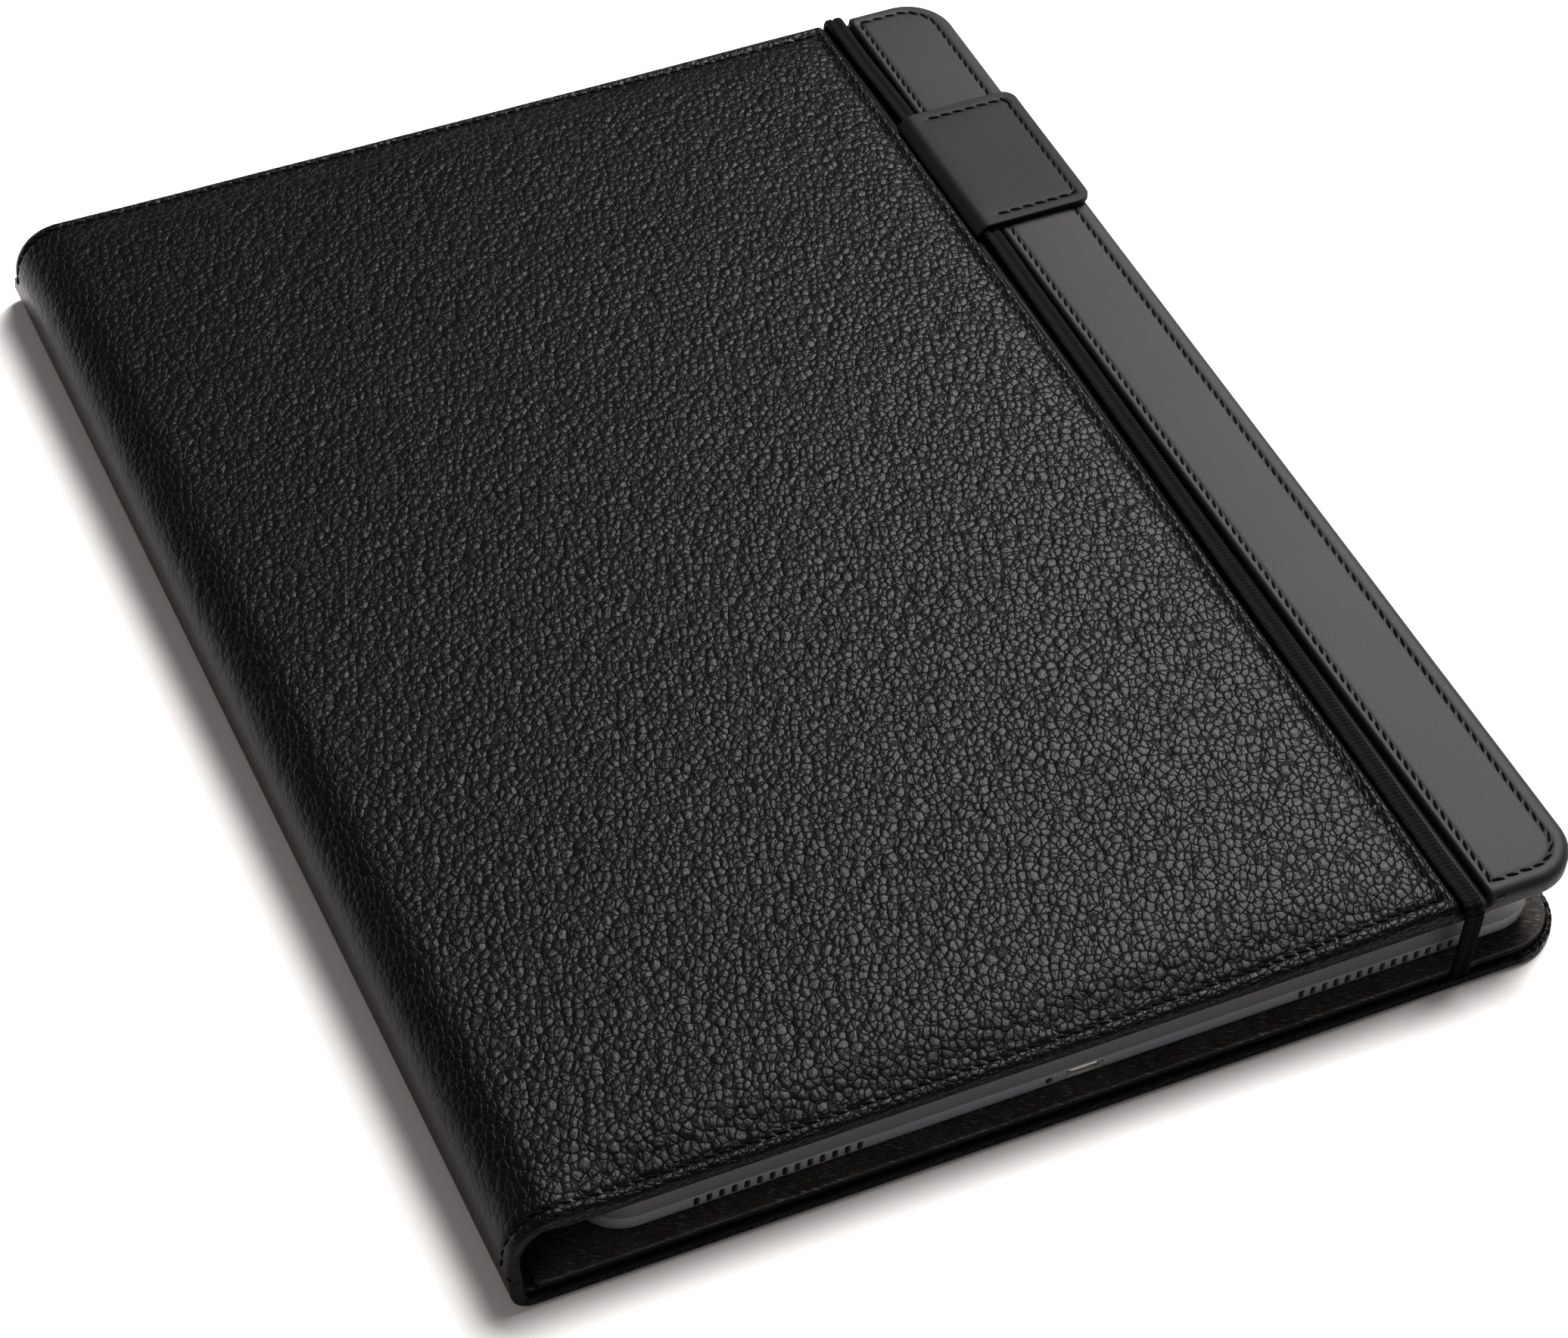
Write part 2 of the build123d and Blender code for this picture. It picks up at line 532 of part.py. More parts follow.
MAIN_BOARD_Z = (7.4, 8.4)
MAIN_BOARD_X = 84.0
MAIN_BOARD_Y = (-118.0, -68.0)
SOCKET_BOARD = (12.0, 129.6)     # half width of the board's tongue, and how far out it reaches
BATTERY_X = (-62.0, 58.0)
BATTERY_Y = (-62.0, 66.0)
BATTERY_TOP_Z = 9.8
SPEAKER_Y = -119.0
SPEAKER_TOP_Z = 9.6
SPEAKER_LAP = 1.5            # past the first and last slot
SOCKET_SHEET = 0.3
SOCKET_DEPTH = 5.0
TONGUE_Z = (6.1, 6.6)
SWITCH_BOARD_Y = (-38.0, 78.0)
SWITCH_BOARD_Z = (9.4, 10.4)
SWITCH_R = 2.2
SWITCH_HEIGHT = 0.7


def reader_insides():
    floor_z = TABLET_Z + SHELL_WALL + FIT
    keep("reader_battery", box(BATTERY_X, BATTERY_Y, (floor_z, BATTERY_TOP_Z)))
    board = box(sides(MAIN_BOARD_X), MAIN_BOARD_Y, MAIN_BOARD_Z)
    board += box(sides(SOCKET_BOARD[0]), (-SOCKET_BOARD[1], MAIN_BOARD_Y[0]), MAIN_BOARD_Z)
    keep("reader_main_board", board)
    half = SOCKET_WIDTH / 2 - CLEAR
    wall = SOCKET_SHEET
    socket_z = (floor_z, MAIN_BOARD_Z[0])
    mouth_y = SHELL_WALL + FIT - TABLET_Y
    back_y = mouth_y + SOCKET_DEPTH
    socket = box(sides(half), (mouth_y, back_y + CUT), socket_z)
    cavity = box(sides(half - wall), (mouth_y - CUT, back_y), (socket_z[0] + wall, socket_z[1] - wall))
    tongue = box(sides(half - 4 * wall), (mouth_y + 2 * CLEAR, back_y + CLEAR), TONGUE_Z)
    keep("charging_socket", socket - cavity + tongue)
    last_x = HOLE_START_X + (HOLE_COUNT - 1) * HOLE_PITCH
    span = (HOLE_START_X - SPEAKER_LAP, last_x + SPEAKER_LAP)
    speaker_y = (-TABLET_Y + SHELL_WALL + 2 * CLEAR, SPEAKER_Y)
    speaker_z = (floor_z, SPEAKER_TOP_Z)
    keep("speakers", [box(span, speaker_y, speaker_z), box((-span[1], -span[0]), speaker_y, speaker_z)])
    switches = box((KEY_X[0] - CUT, KEY_X[1] + CUT), SWITCH_BOARD_Y, SWITCH_BOARD_Z)
    for low, high in KEYS.values():
        middle = Pos((KEY_X[0] + KEY_X[1]) / 2, (low + high) / 2, SWITCH_BOARD_Z[1] + SWITCH_HEIGHT / 2)
        switches += middle * Cylinder(SWITCH_R, SWITCH_HEIGHT)
    keep("key_switch_board", switches)


def reader_controls():
    for name in KEYS:
        cap = key_box(name, 0.0, (KEY_BASE_Z, FACE_Z + KEY_PROUD))
        cap = fillet(cap.edges().filter_by(Axis.Z), KEY_CORNER_R)
        flange = key_box(name, KEY_FLANGE, (KEY_BASE_Z, FACE_Z - FACE_THICK - FIT))
        keep(name, cap + flange)
    half = SLIDER_WIDTH / 2
    back = TABLET_Y - SHELL_WALL - SLIDER_GAP
    knob = box((SLIDER_X - half, SLIDER_X + half), (back, TABLET_Y + SLIDER_PROUD), SLIDER_Z)
    plate_z = (SLIDER_Z[0] - SLIDER_GAP, SLIDER_Z[1] + SLIDER_GAP)
    plate = box((SLIDER_X - half - CUT, SLIDER_X + half + CUT), (back - CUT, back), plate_z)
    keep("power_slider", knob + plate)


back_cover()
rail()
hooks()
spine()
front_cover()
strap()
pull_tab()
reader_shell()
reader_bezel()
reader_insides()
reader_controls()

for node, shape in made.items():
    export_step(shape, "parts/" + node + ".step")
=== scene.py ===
import json
import math

import bmesh
import bpy
import numpy as np
from mathutils import Matrix, Quaternion, Vector, noise


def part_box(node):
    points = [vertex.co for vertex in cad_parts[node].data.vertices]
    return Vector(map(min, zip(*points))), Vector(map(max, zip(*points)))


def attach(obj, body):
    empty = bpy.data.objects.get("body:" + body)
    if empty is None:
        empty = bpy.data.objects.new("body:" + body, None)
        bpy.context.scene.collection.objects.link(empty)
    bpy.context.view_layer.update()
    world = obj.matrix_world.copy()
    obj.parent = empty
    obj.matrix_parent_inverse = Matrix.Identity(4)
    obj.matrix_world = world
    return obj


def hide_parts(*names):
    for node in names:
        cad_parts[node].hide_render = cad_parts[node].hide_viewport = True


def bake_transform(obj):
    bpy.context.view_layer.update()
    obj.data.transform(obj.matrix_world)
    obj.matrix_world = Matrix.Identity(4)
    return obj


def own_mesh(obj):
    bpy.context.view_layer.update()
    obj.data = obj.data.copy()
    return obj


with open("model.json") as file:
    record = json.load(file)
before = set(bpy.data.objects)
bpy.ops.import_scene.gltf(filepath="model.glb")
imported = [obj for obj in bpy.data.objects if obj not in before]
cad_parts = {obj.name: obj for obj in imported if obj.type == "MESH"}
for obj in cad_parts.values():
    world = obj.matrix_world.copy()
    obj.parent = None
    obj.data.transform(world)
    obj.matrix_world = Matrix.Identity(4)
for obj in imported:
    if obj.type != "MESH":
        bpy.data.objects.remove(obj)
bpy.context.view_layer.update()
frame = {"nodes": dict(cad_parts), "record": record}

MM = 0.001

# ---------------------------------------------------------------- sizes, from the frame where it has them
panel_low, panel_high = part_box("front_panel_leather")
band_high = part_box("front_band_leather")[1]
back_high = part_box("back_outer_leather")[1]
upper_low, upper_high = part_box("upper_fold_leather")
lower_low, lower_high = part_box("lower_fold_leather")
cover_lining_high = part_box("front_lining")[1]
back_lining_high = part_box("back_lining")[1]
spine_lining_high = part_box("spine_lining")[1]
run_low, run_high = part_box("strap_run")
leg_low, leg_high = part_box("strap_upper_leg")
tab_low, tab_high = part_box("pull_tab_leather")

SPINE_X = upper_low.x
SPINE_MID_Z = (upper_low.z + lower_high.z) / 2
UPPER_R = upper_high.x - upper_low.x
LOWER_R = lower_high.x - lower_low.x
COVER_Y = panel_high.y
COVER_TOP = panel_high.z
COVER_UNDER = panel_low.z
COVER_FORE = band_high.x
COVER_CORNER = 10 * MM
PANEL_END = panel_high.x
GROOVE_Z = 17.2 * MM
BAND_START = 77 * MM
BACK_FORE = back_high.x
BACK_Y = back_high.y
BACK_CORNER = 12 * MM
RIM_WIDTH = COVER_FORE - cover_lining_high.x
SPINE_THICK = spine_lining_high.x - SPINE_X
COVER_THICK = COVER_TOP - COVER_UNDER
STITCH_INSET = 3.2 * MM
STITCH_PITCH = 2.6 * MM
PANEL_STITCH_X = PANEL_END - 2.4 * MM
BAND_STITCH_X = BAND_START + 1.7 * MM
BAND_FORE_INSET = 3.6 * MM
END_ROW_Y = COVER_Y - STITCH_INSET
ROLL_TOP = 2.1 * MM           # top of the low roll of leather round the back cover
ROLL_WIDTH = 1.4 * MM
LINING_PITCH = 3.6 * MM       # the linings' stitches lie further apart
SEAM_SINK = 0.10 * MM         # how far a row of stitches lies in smooth leather
LINING_SINK = 0.20 * MM       # and in a lining
SOCKET_Z = (4.8 * MM, 7.2 * MM)   # the opening for the socket in the reader's side
SOCKET_HALF = 3.95 * MM
TONGUE_Z = (6.1 * MM, 6.6 * MM)   # the charging socket's tongue
TONGUE_HALF = 2.55 * MM


# ---------------------------------------------------------------- shader helpers
class Shader:
    """A material made of procedural nodes round one Principled shader."""

    def __init__(self, name, **sockets):
        self.material = bpy.data.materials.new(name)
        self.material.use_nodes = True
        self.tree = self.material.node_tree
        self.surface = self.tree.nodes["Principled BSDF"]
        for socket, value in sockets.items():
            self.surface.inputs[socket.replace("_", " ")].default_value = value

    def add(self, kind, settings=None, inputs=None):
        made = self.tree.nodes.new(kind)
        for key, value in (settings or {}).items():
            setattr(made, key, value)
        for key, value in (inputs or {}).items():
            if isinstance(value, bpy.types.NodeSocket):
                self.tree.links.new(value, made.inputs[key])
            else:
                made.inputs[key].default_value = value
        return made

    def attribute(self, name, output="Fac"):
        return self.add("ShaderNodeAttribute", {"attribute_name": name}).outputs[output]

    def place(self, scale=(1, 1, 1), attribute="flat", turn=0.0):
        """Where a point lies on the flat hide, or in space, in millimetres times scale."""
        if attribute:
            source = self.attribute(attribute, "Vector")
        else:
            source = self.add("ShaderNodeTexCoord").outputs["Object"]
        if turn:
            turned = {"Vector": source, "Rotation": (0, 0, turn)}
            source = self.add("ShaderNodeMapping", None, turned).outputs[0]
        per_metre = [s / MM for s in scale]
        return self.add("ShaderNodeMapping", None, {"Vector": source, "Scale": per_metre}).outputs[0]

    def noise(self, vector, scale, detail=2.0, roughness=0.5, output="Fac"):
        made = self.add("ShaderNodeTexNoise", None, {"Vector": vector, "Scale": scale, "Detail": detail,
                                                     "Roughness": roughness})
        return made.outputs[output]

    def cells(self, vector, scale, feature="DISTANCE_TO_EDGE", randomness=1.0):
        return self.add("ShaderNodeTexVoronoi", {"feature": feature},
                        {"Vector": vector, "Scale": scale, "Randomness": randomness})

    def math(self, operation, a, b):
        return self.add("ShaderNodeMath", {"operation": operation}, {0: a, 1: b}).outputs[0]

    def vector_math(self, operation, inputs):
        return self.add("ShaderNodeVectorMath", {"operation": operation}, inputs).outputs[0]

    def times(self, a, b):
        return self.math("MULTIPLY", a, b)

    def weighted(self, *parts):
        """The sum of values, each times its weight."""
        total = self.times(*parts[0])
        for value, weight in parts[1:]:
            total = self.math("ADD", total, self.times(value, weight))
        return total

    def fit(self, value, low, high, to_low, to_high):
        made = self.add("ShaderNodeMapRange", {"interpolation_type": "SMOOTHSTEP"},
                        {"Value": value, "From Min": low, "From Max": high,
                         "To Min": to_low, "To Max": to_high})
        return made.outputs[0]

    def tint(self, share, *colours):
        """The first colour where share is 0 and the second where it is 1."""
        a, b = ((*c, 1) if isinstance(c, tuple) else c for c in colours)
        return self.add("ShaderNodeMix", {"data_type": "RGBA"}, {0: share, 6: a, 7: b}).outputs[2]

    def rim_lit(self, colour, rim_colour):
        """The colour tinted towards a warm reddish brown along the marked rows of the piece's bottom edge: a
        painted warm rim light.
        """
        return self.tint(self.times(self.attribute("rub"), 0.8), colour, rim_colour)

    def finish(self, colour=None, roughness=None, height=None, depth=0.1 * MM):
        links = self.tree.links
        if colour is not None:
            links.new(colour, self.surface.inputs["Base Color"])
        if roughness is not None:
            links.new(roughness, self.surface.inputs["Roughness"])
        if height is not None:
            bump = self.add("ShaderNodeBump", None, {"Strength": 1.0, "Distance": depth, "Height": height})
            links.new(bump.outputs[0], self.surface.inputs["Normal"])
        return self.material


def warped(shader, vector, scale, amount):
    """The same place pushed about by noise, so that a pattern loses its regularity."""
    wobble = shader.noise(vector, scale, output="Color")
    centred = shader.vector_math("SUBTRACT", {0: wobble, 1: (0.5, 0.5, 0.5)})
    sized = shader.vector_math("SCALE", {0: centred, "Scale": amount})
    return shader.vector_math("ADD", {0: vector, 1: sized})


# ---------------------------------------------------------------- materials
def pebbled_leather():
    """Black hide: softly rounded pebbles between narrow creases darkened as painted shade, calmer where the
    hide faces sideways, where a painted warm bounce light lightens it.
    """
    s = Shader("pebbled_leather", Specular_IOR_Level=0.058, Specular_Tint=(1.0, 0.95, 0.90, 1.0))
    grain = s.place((0.60, 0.49, 1.0), turn=math.radians(20))
    here = warped(s, warped(s, grain, 0.45, 0.9), 2.0, 0.16)
    edge = s.cells(here, 1.08, randomness=0.82).outputs["Distance"]
    middle = s.cells(here, 1.08, "F1", 0.82)
    dome = s.times(middle.outputs["Distance"], middle.outputs["Distance"])
    small = s.cells(here, 2.3, "F1").outputs["Distance"]
    small = s.times(small, small)
    level = s.add("ShaderNodeSeparateColor", None, {0: middle.outputs["Color"]}).outputs[0]
    crease = s.fit(edge, 0.0, 0.09, 0.0, 1.0)
    pores = s.noise(s.place(), 3.0, 3.0, 0.55)
    lumps = s.noise(s.place(), 0.55)
    height = s.weighted((crease, 0.22), (dome, -0.95), (small, -0.24), (level, 0.08), (pores, 0.14),
                        (lumps, 0.16))
    calm = s.attribute("calm")
    height = s.times(height, s.fit(calm, 0.0, 1.0, 1.0, 0.30))
    # Painted shade: the colour goes near black in the creases, except where the hide faces sideways; the
    # creases are rougher too.
    outside_crease_shade = s.math("MAXIMUM", crease, s.times(calm, 0.85))
    hide = s.tint(s.noise(s.place(), 0.03, 3.0), (0.0019, 0.0017, 0.0016), (0.0029, 0.0026, 0.0026))
    # A painted warm bounce light from the floor: lighter and warmer where the hide faces -X.
    hide = s.tint(calm, hide, (0.0050, 0.0034, 0.0029))
    hide = s.tint(outside_crease_shade, (0.0005, 0.0004, 0.0004), hide)
    rough = s.fit(outside_crease_shade, 0.1, 1.0, 0.60, 0.315)
    # Along the bottom edge, a painted warm rim light in reddish brown.
    return s.finish(s.rim_lit(hide, (0.060, 0.022, 0.014)), rough, height, 0.30 * MM)


def smooth_leather(name, specular):
    """Black satin leather with a barely visible pore."""
    s = Shader(name, Specular_IOR_Level=specular, Specular_Tint=(1.0, 0.94, 0.92, 1.0))
    here = s.place()
    pores = s.noise(here, 3.5, 4.0, 0.6)
    folds = s.noise(warped(s, here, 0.12, 6.0), 0.35, 3.0)
    colour = s.tint(s.noise(here, 0.05), (0.0078, 0.0070, 0.0074), (0.0112, 0.0102, 0.0106))
    rough = s.fit(pores, 0.25, 0.75, 0.58, 0.48)
    # Along the bottom edge, a painted warm rim light in reddish brown.
    return s.finish(s.rim_lit(colour, (0.075, 0.026, 0.014)), rough, s.weighted((pores, 0.25), (folds, 0.5)),
                    0.08 * MM)


def suede():
    """Brushed microfibre: an uneven nap with lighter strands lying across it."""
    s = Shader("suede_lining", Roughness=0.95, Sheen_Weight=0.06, Sheen_Roughness=0.5,
               Specular_IOR_Level=0.15)
    nap = s.noise(s.place((1.0, 2.2, 1.0)), 1.6, 6.0, 0.75)
    lying = warped(s, s.place((0.55, 3.2, 1.0), turn=math.radians(25)), 0.5, 1.2)
    strands = s.fit(s.noise(lying, 0.9, 3.0, 0.6), 0.53, 0.68, 0.0, 1.0)
    share = s.weighted((nap, 0.7), (s.noise(s.place(), 0.12, 4.0, 0.6), 0.5))
    colour = s.tint(s.fit(share, 0.40, 0.90, 0.0, 1.0), (0.013, 0.0112, 0.0100), (0.100, 0.087, 0.078))
    colour = s.tint(s.times(strands, nap), colour, (0.42, 0.38, 0.35))
    return s.finish(colour, None, s.weighted((nap, 1.0), (strands, 0.5)), 0.6 * MM)


def thread(name, dark, light, sheen=0.0):
    """Twisted sewing thread: slanting strands along each stitch."""
    s = Shader(name, Roughness=0.8, Specular_IOR_Level=0.06, Sheen_Weight=sheen, Sheen_Roughness=0.5)
    twist = s.add("ShaderNodeTexWave", {"wave_type": "BANDS", "bands_direction": "DIAGONAL"},
                  {"Vector": s.place(attribute="along"), "Scale": 1.6, "Distortion": 0.6}).outputs["Fac"]
    fuzz = s.noise(s.place(attribute=None), 6.0, 3.0)
    return s.finish(s.tint(s.times(twist, fuzz), dark, light), None, s.weighted((twist, 1.0), (fuzz, 0.4)),
                    0.12 * MM)


def elastic():
    """Knitted elastic, nearly black: painted light on its loops where they rise across two ribs, and painted
    shade in the groove between them.
    """
    s = Shader("elastic", Roughness=0.7, Specular_IOR_Level=0.03)
    fuzz = s.noise(s.place(attribute="along"), 5.0, 3.0)
    # Painted light and shade: lighter where a loop rises, darkest in the groove between the ribs.
    share = s.times(s.fit(s.attribute("loop"), 0.2, 1.0, 0.0, 1.0), s.fit(fuzz, 0.3, 0.6, 0.4, 1.0))
    return s.finish(s.tint(share, (0.0005, 0.0005, 0.0007), (0.0050, 0.0049, 0.0064)), None, fuzz, 0.08 * MM)


def graphite(name, dark, light, metallic, rough):
    """A moulded, plated or bead-blasted surface: a fine even speckle and slight patches."""
    s = Shader(name, Metallic=metallic, Specular_IOR_Level=0.5)
    here = s.place(attribute=None)
    speckle = s.noise(here, 8.0)
    share = s.weighted((speckle, 0.4), (s.noise(here, 0.06, 3.0), 0.6))
    return s.finish(s.tint(share, dark, light), s.fit(speckle, 0.3, 0.7, rough + 0.06, rough - 0.04),
                    speckle, 0.02 * MM)


def steel():
    """Dark nickel-plated sheet with lengthwise brushing."""
    s = Shader("steel", Metallic=1.0, Anisotropic=0.4)
    brushed = s.noise(s.place((6.0, 0.15, 6.0), None), 2.0, 4.0)
    return s.finish(s.tint(brushed, (0.20, 0.20, 0.21), (0.42, 0.42, 0.43)),
                    s.fit(brushed, 0.2, 0.8, 0.42, 0.24), brushed, 0.02 * MM)


def display():
    """Matt paper-like screen with a faint grain."""
    s = Shader("screen", Specular_IOR_Level=0.4, Coat_Weight=0.2, Coat_Roughness=0.4)
    grain = s.noise(s.place(attribute=None), 5.0)
    return s.finish(s.tint(grain, (0.155, 0.158, 0.150), (0.180, 0.183, 0.175)),
                    s.fit(grain, 0.2, 0.8, 0.5, 0.4), grain, 0.01 * MM)


def pressed_board():
    """Black pressed paper board."""
    s = Shader("board", Roughness=0.9, Specular_IOR_Level=0.2)
    fibre = s.noise(s.place((1, 1, 3), None), 1.2, 6.0, 0.7)
    return s.finish(s.tint(fibre, (0.0015, 0.0014, 0.0014), (0.006, 0.0055, 0.005)), None, fibre, 0.1 * MM)


def circuit():
    """Green circuit board with lighter tracks."""
    s = Shader("circuit", Roughness=0.5)
    tracks = s.cells(s.place(attribute=None), 0.4).outputs["Distance"]
    return s.finish(s.tint(s.fit(tracks, 0.0, 0.1, 1.0, 0.0), (0.004, 0.03, 0.014), (0.02, 0.09, 0.04)),
                    None, tracks, 0.03 * MM)


LOOKS = {
    "pebbled_leather": pebbled_leather(),
    "smooth_leather": smooth_leather("smooth_leather", 0.088),
    "tab_leather": smooth_leather("tab_leather", 0.046),
    "suede_lining": suede(),
    "thread": thread("cover_thread", (0.0003, 0.0003, 0.0003), (0.0022, 0.0021, 0.0021)),
    "lining_thread": thread("lining_thread", (0.018, 0.015, 0.013), (0.060, 0.050, 0.042), 0.06),
    "elastic": elastic(),
    "steel": steel(),
    "nickel": graphite("nickel", (0.62, 0.62, 0.63), (0.80, 0.80, 0.81), 1.0, 0.30),
    "tongue": graphite("socket_tongue", (0.82, 0.76, 0.64), (0.92, 0.87, 0.76), 0.0, 0.50),
    "metal_shell": graphite("metal_shell", (0.135, 0.142, 0.160), (0.175, 0.183, 0.202), 0.5, 0.36),
    "bezel": graphite("bezel", (0.026, 0.0245, 0.0245), (0.037, 0.035, 0.035), 0.0, 0.50),
    "key": graphite("key", (0.055, 0.052, 0.051), (0.075, 0.071, 0.070), 0.0, 0.40),
    "screen": display(),
    "board": pressed_board(),
    "padding": graphite("padding", (0.10, 0.10, 0.10), (0.16, 0.16, 0.16), 0.0, 0.9),
    "circuit": circuit(),
    "battery": graphite("battery", (0.25, 0.25, 0.26), (0.38, 0.38, 0.39), 0.8, 0.45),
    "speaker": graphite("speaker", (0.01, 0.01, 0.01), (0.02, 0.02, 0.02), 0.0, 0.8),
}


# ---------------------------------------------------------------- mesh helpers
NEAR = 0.1 * MM                # two rows or columns closer than this are one
RELIEF_ROWS = 3                # the face's relief dies away over this many rows of its edge
BACK_FACE_FLAT = (0.3, 0.3)    # where a back face lies on the flat hide, away from the front


class Path:
    """A line in X-Z, walked from a start. side is +1 where its outward face is to the left."""

    STEP = 0.1 * MM

    def __init__(self, x, z, heading, side):
        self.points = [(x, z, math.radians(heading))]
        self.side = side
        self.length = 0.0
        self.marks = [0.0]
        self.bends = []

    def _walk(self, length, turn):
        count = max(2, int(math.ceil(length / self.STEP)))
        for _ in range(count):
            x, z, heading = self.points[-1]
            middle = heading + turn / count / 2
            step = length / count
            self.points.append((x + step * math.cos(middle), z + step * math.sin(middle),
                                heading + turn / count))
        self.length += length
        self.marks.append(self.length)
        self.bends.append(turn != 0.0)
        return self

    def ahead(self, length):
        return self._walk(length, 0.0)

    def bend(self, radius, degrees):
        turn = math.radians(degrees)
        return self._walk(radius * abs(turn), turn)

    def at(self, u):
        """x, z and outward normal at each distance u, straight on past both ends."""
        table = np.array(self.points)
        steps = np.hypot(np.diff(table[:, 0]), np.diff(table[:, 1]))
        where = np.concatenate([[0.0], np.cumsum(steps)]) * (self.length / steps.sum())
        inside = np.clip(u, 0.0, self.length)
        x = np.interp(inside, where, table[:, 0])
        z = np.interp(inside, where, table[:, 1])
        heading = np.interp(inside, where, table[:, 2])
        over = u - inside
        x = x + over * np.cos(heading)
        z = z + over * np.sin(heading)
        return x, z, -np.sin(heading) * self.side, np.cos(heading) * self.side

    def columns(self, flat_step, curve_step=0.6 * MM):
        """Distances along the path, close together on its bends."""
        stops = [0.0]
        for low, high, bent in zip(self.marks, self.marks[1:], self.bends):
            step = curve_step if bent else flat_step
            count = max(2, int(math.ceil((high - low) / step)))
            stops += list(np.linspace(low, high, count + 1)[1:])
        return np.array(stops)


def mesh_object(name, points, faces, material, smooth=True, **layers):
    """A mesh object with point layers: three numbers a point, or one."""
    mesh = bpy.data.meshes.new(name)
    mesh.from_pydata([tuple(p) for p in points], [], [tuple(int(i) for i in f) for f in faces])
    for key, values in layers.items():
        values = np.asarray(values, np.float32)
        kind = "FLOAT_VECTOR" if values.ndim == 2 else "FLOAT"
        layer = mesh.attributes.new(key, kind, "POINT")
        layer.data.foreach_set("vector" if values.ndim == 2 else "value", values.ravel())
    if smooth:
        mesh.polygons.foreach_set("use_smooth", [True] * len(mesh.polygons))
    mesh.materials.append(material)
    joined = bmesh.new()
    joined.from_mesh(mesh)
    bmesh.ops.remove_doubles(joined, verts=joined.verts, dist=0.001 * MM)
    joined.to_mesh(mesh)
    joined.free()
    mesh.update()
    made = bpy.data.objects.new(name, mesh)
    bpy.context.scene.collection.objects.link(made)
    return made


def grid_faces(first, rows, columns):
    """Quads of a grid of points numbered row by row from first."""
    r, c = np.meshgrid(np.arange(rows - 1), np.arange(columns - 1), indexing="ij")
    a = (first + r * columns + c).ravel()
    return np.stack([a, a + 1, a + columns + 1, a + columns], 1)


def strip_faces(a, b, closed):
    """Quads between two lists of point numbers, which run round a loop if closed."""
    following = np.roll(np.arange(len(a)), -1)
    span = np.arange(len(a) if closed else len(a) - 1)
    return np.stack([a[span], b[span], b[following[span]], a[following[span]]], 1)


def tube_faces(first, rings, sides):
    """Quads round a row of rings of points numbered from first."""
    faces = []
    for r in range(rings - 1):
        for k in range(sides):
            a = first + r * sides + k
            b = first + r * sides + (k + 1) % sides
            faces.append((a, b, b + sides, a + sides))
    return faces


def end_faces(rings, sides):
    """A face over each end of a tube."""
    return [tuple(range(sides))[::-1], tuple(range((rings - 1) * sides, rings * sides))]


def merged(*lists):
    """The values of several lists in order, each once."""
    return np.unique(np.round(np.concatenate(lists), 7))


def thinned(values, gap=0.08 * MM):
    """Sorted values without those that come too close after another."""
    kept = []
    for value in sorted(values):
        if not kept or value - kept[-1] > gap:
            kept.append(value)
    return np.array(kept)


def skin_rows(half, end_y, corner, row_step, seams, corner_steps):
    """Y of each row of a hide, its reach into the corners, and the direction its outline faces."""
    straight = np.linspace(-end_y, end_y, max(2, int(round(2 * end_y / row_step)) + 1))
    if len(seams):
        within = [v for v in seams if abs(v) < end_y - NEAR]
        straight = thinned([-end_y, *within]) if row_step > half else thinned([*straight, *within])
        straight = np.append(straight[straight < end_y - NEAR], end_y)
    level = np.zeros(len(straight))
    if not corner:
        return straight, level, level
    turn = np.linspace(-math.pi / 2, 0, corner_steps)[:-1]
    bottom = -end_y + corner * np.sin(turn)
    reach = corner * np.cos(turn)
    return (np.concatenate([bottom, straight, -bottom[::-1]]),
            np.concatenate([reach, level + corner, reach[::-1]]),
            np.concatenate([turn, level, -turn[::-1]]))


def skin_columns(path, first, last, corner, flat_step, seams, rolled, corner_steps):
    """Distances along the path between first and last, with some at each seam and in each corner."""
    base = merged(np.clip(np.concatenate([path.columns(flat_step), seams]), first, last))
    shares = np.linspace(0, 1, corner_steps)
    if corner and "end" in rolled:
        base = merged(base, last - corner * shares)
    if corner and "start" in rolled:
        base = merged(base, first + corner * shares)
    return np.append(thinned(base[base < last - NEAR]), last)


def outline_loops(rows, columns, slope, rolled):
    """The point numbers of each stretch of rolled edge, the way out at each, and whether it's a ring."""
    number = np.arange(rows * columns).reshape(rows, columns)
    bottom, top = number[0], number[-1][::-1]
    right, left = number[1:-1, -1], number[1:-1, 0][::-1]
    down = np.tile([0.0, -1.0], (columns, 1))
    aside = np.stack([np.cos(slope), np.sin(slope)], 1)[1:-1]
    if "end" in rolled and "start" in rolled:
        outward = np.concatenate([down, aside, -down, (aside * [-1, 1])[::-1]])
        return [(np.concatenate([bottom, right, top, left]), outward, True)]
    if "end" in rolled:
        return [(np.concatenate([bottom, right, top]), np.concatenate([down, aside, -down]), False)]
    return [(bottom, down, False), (top, -down, False)]


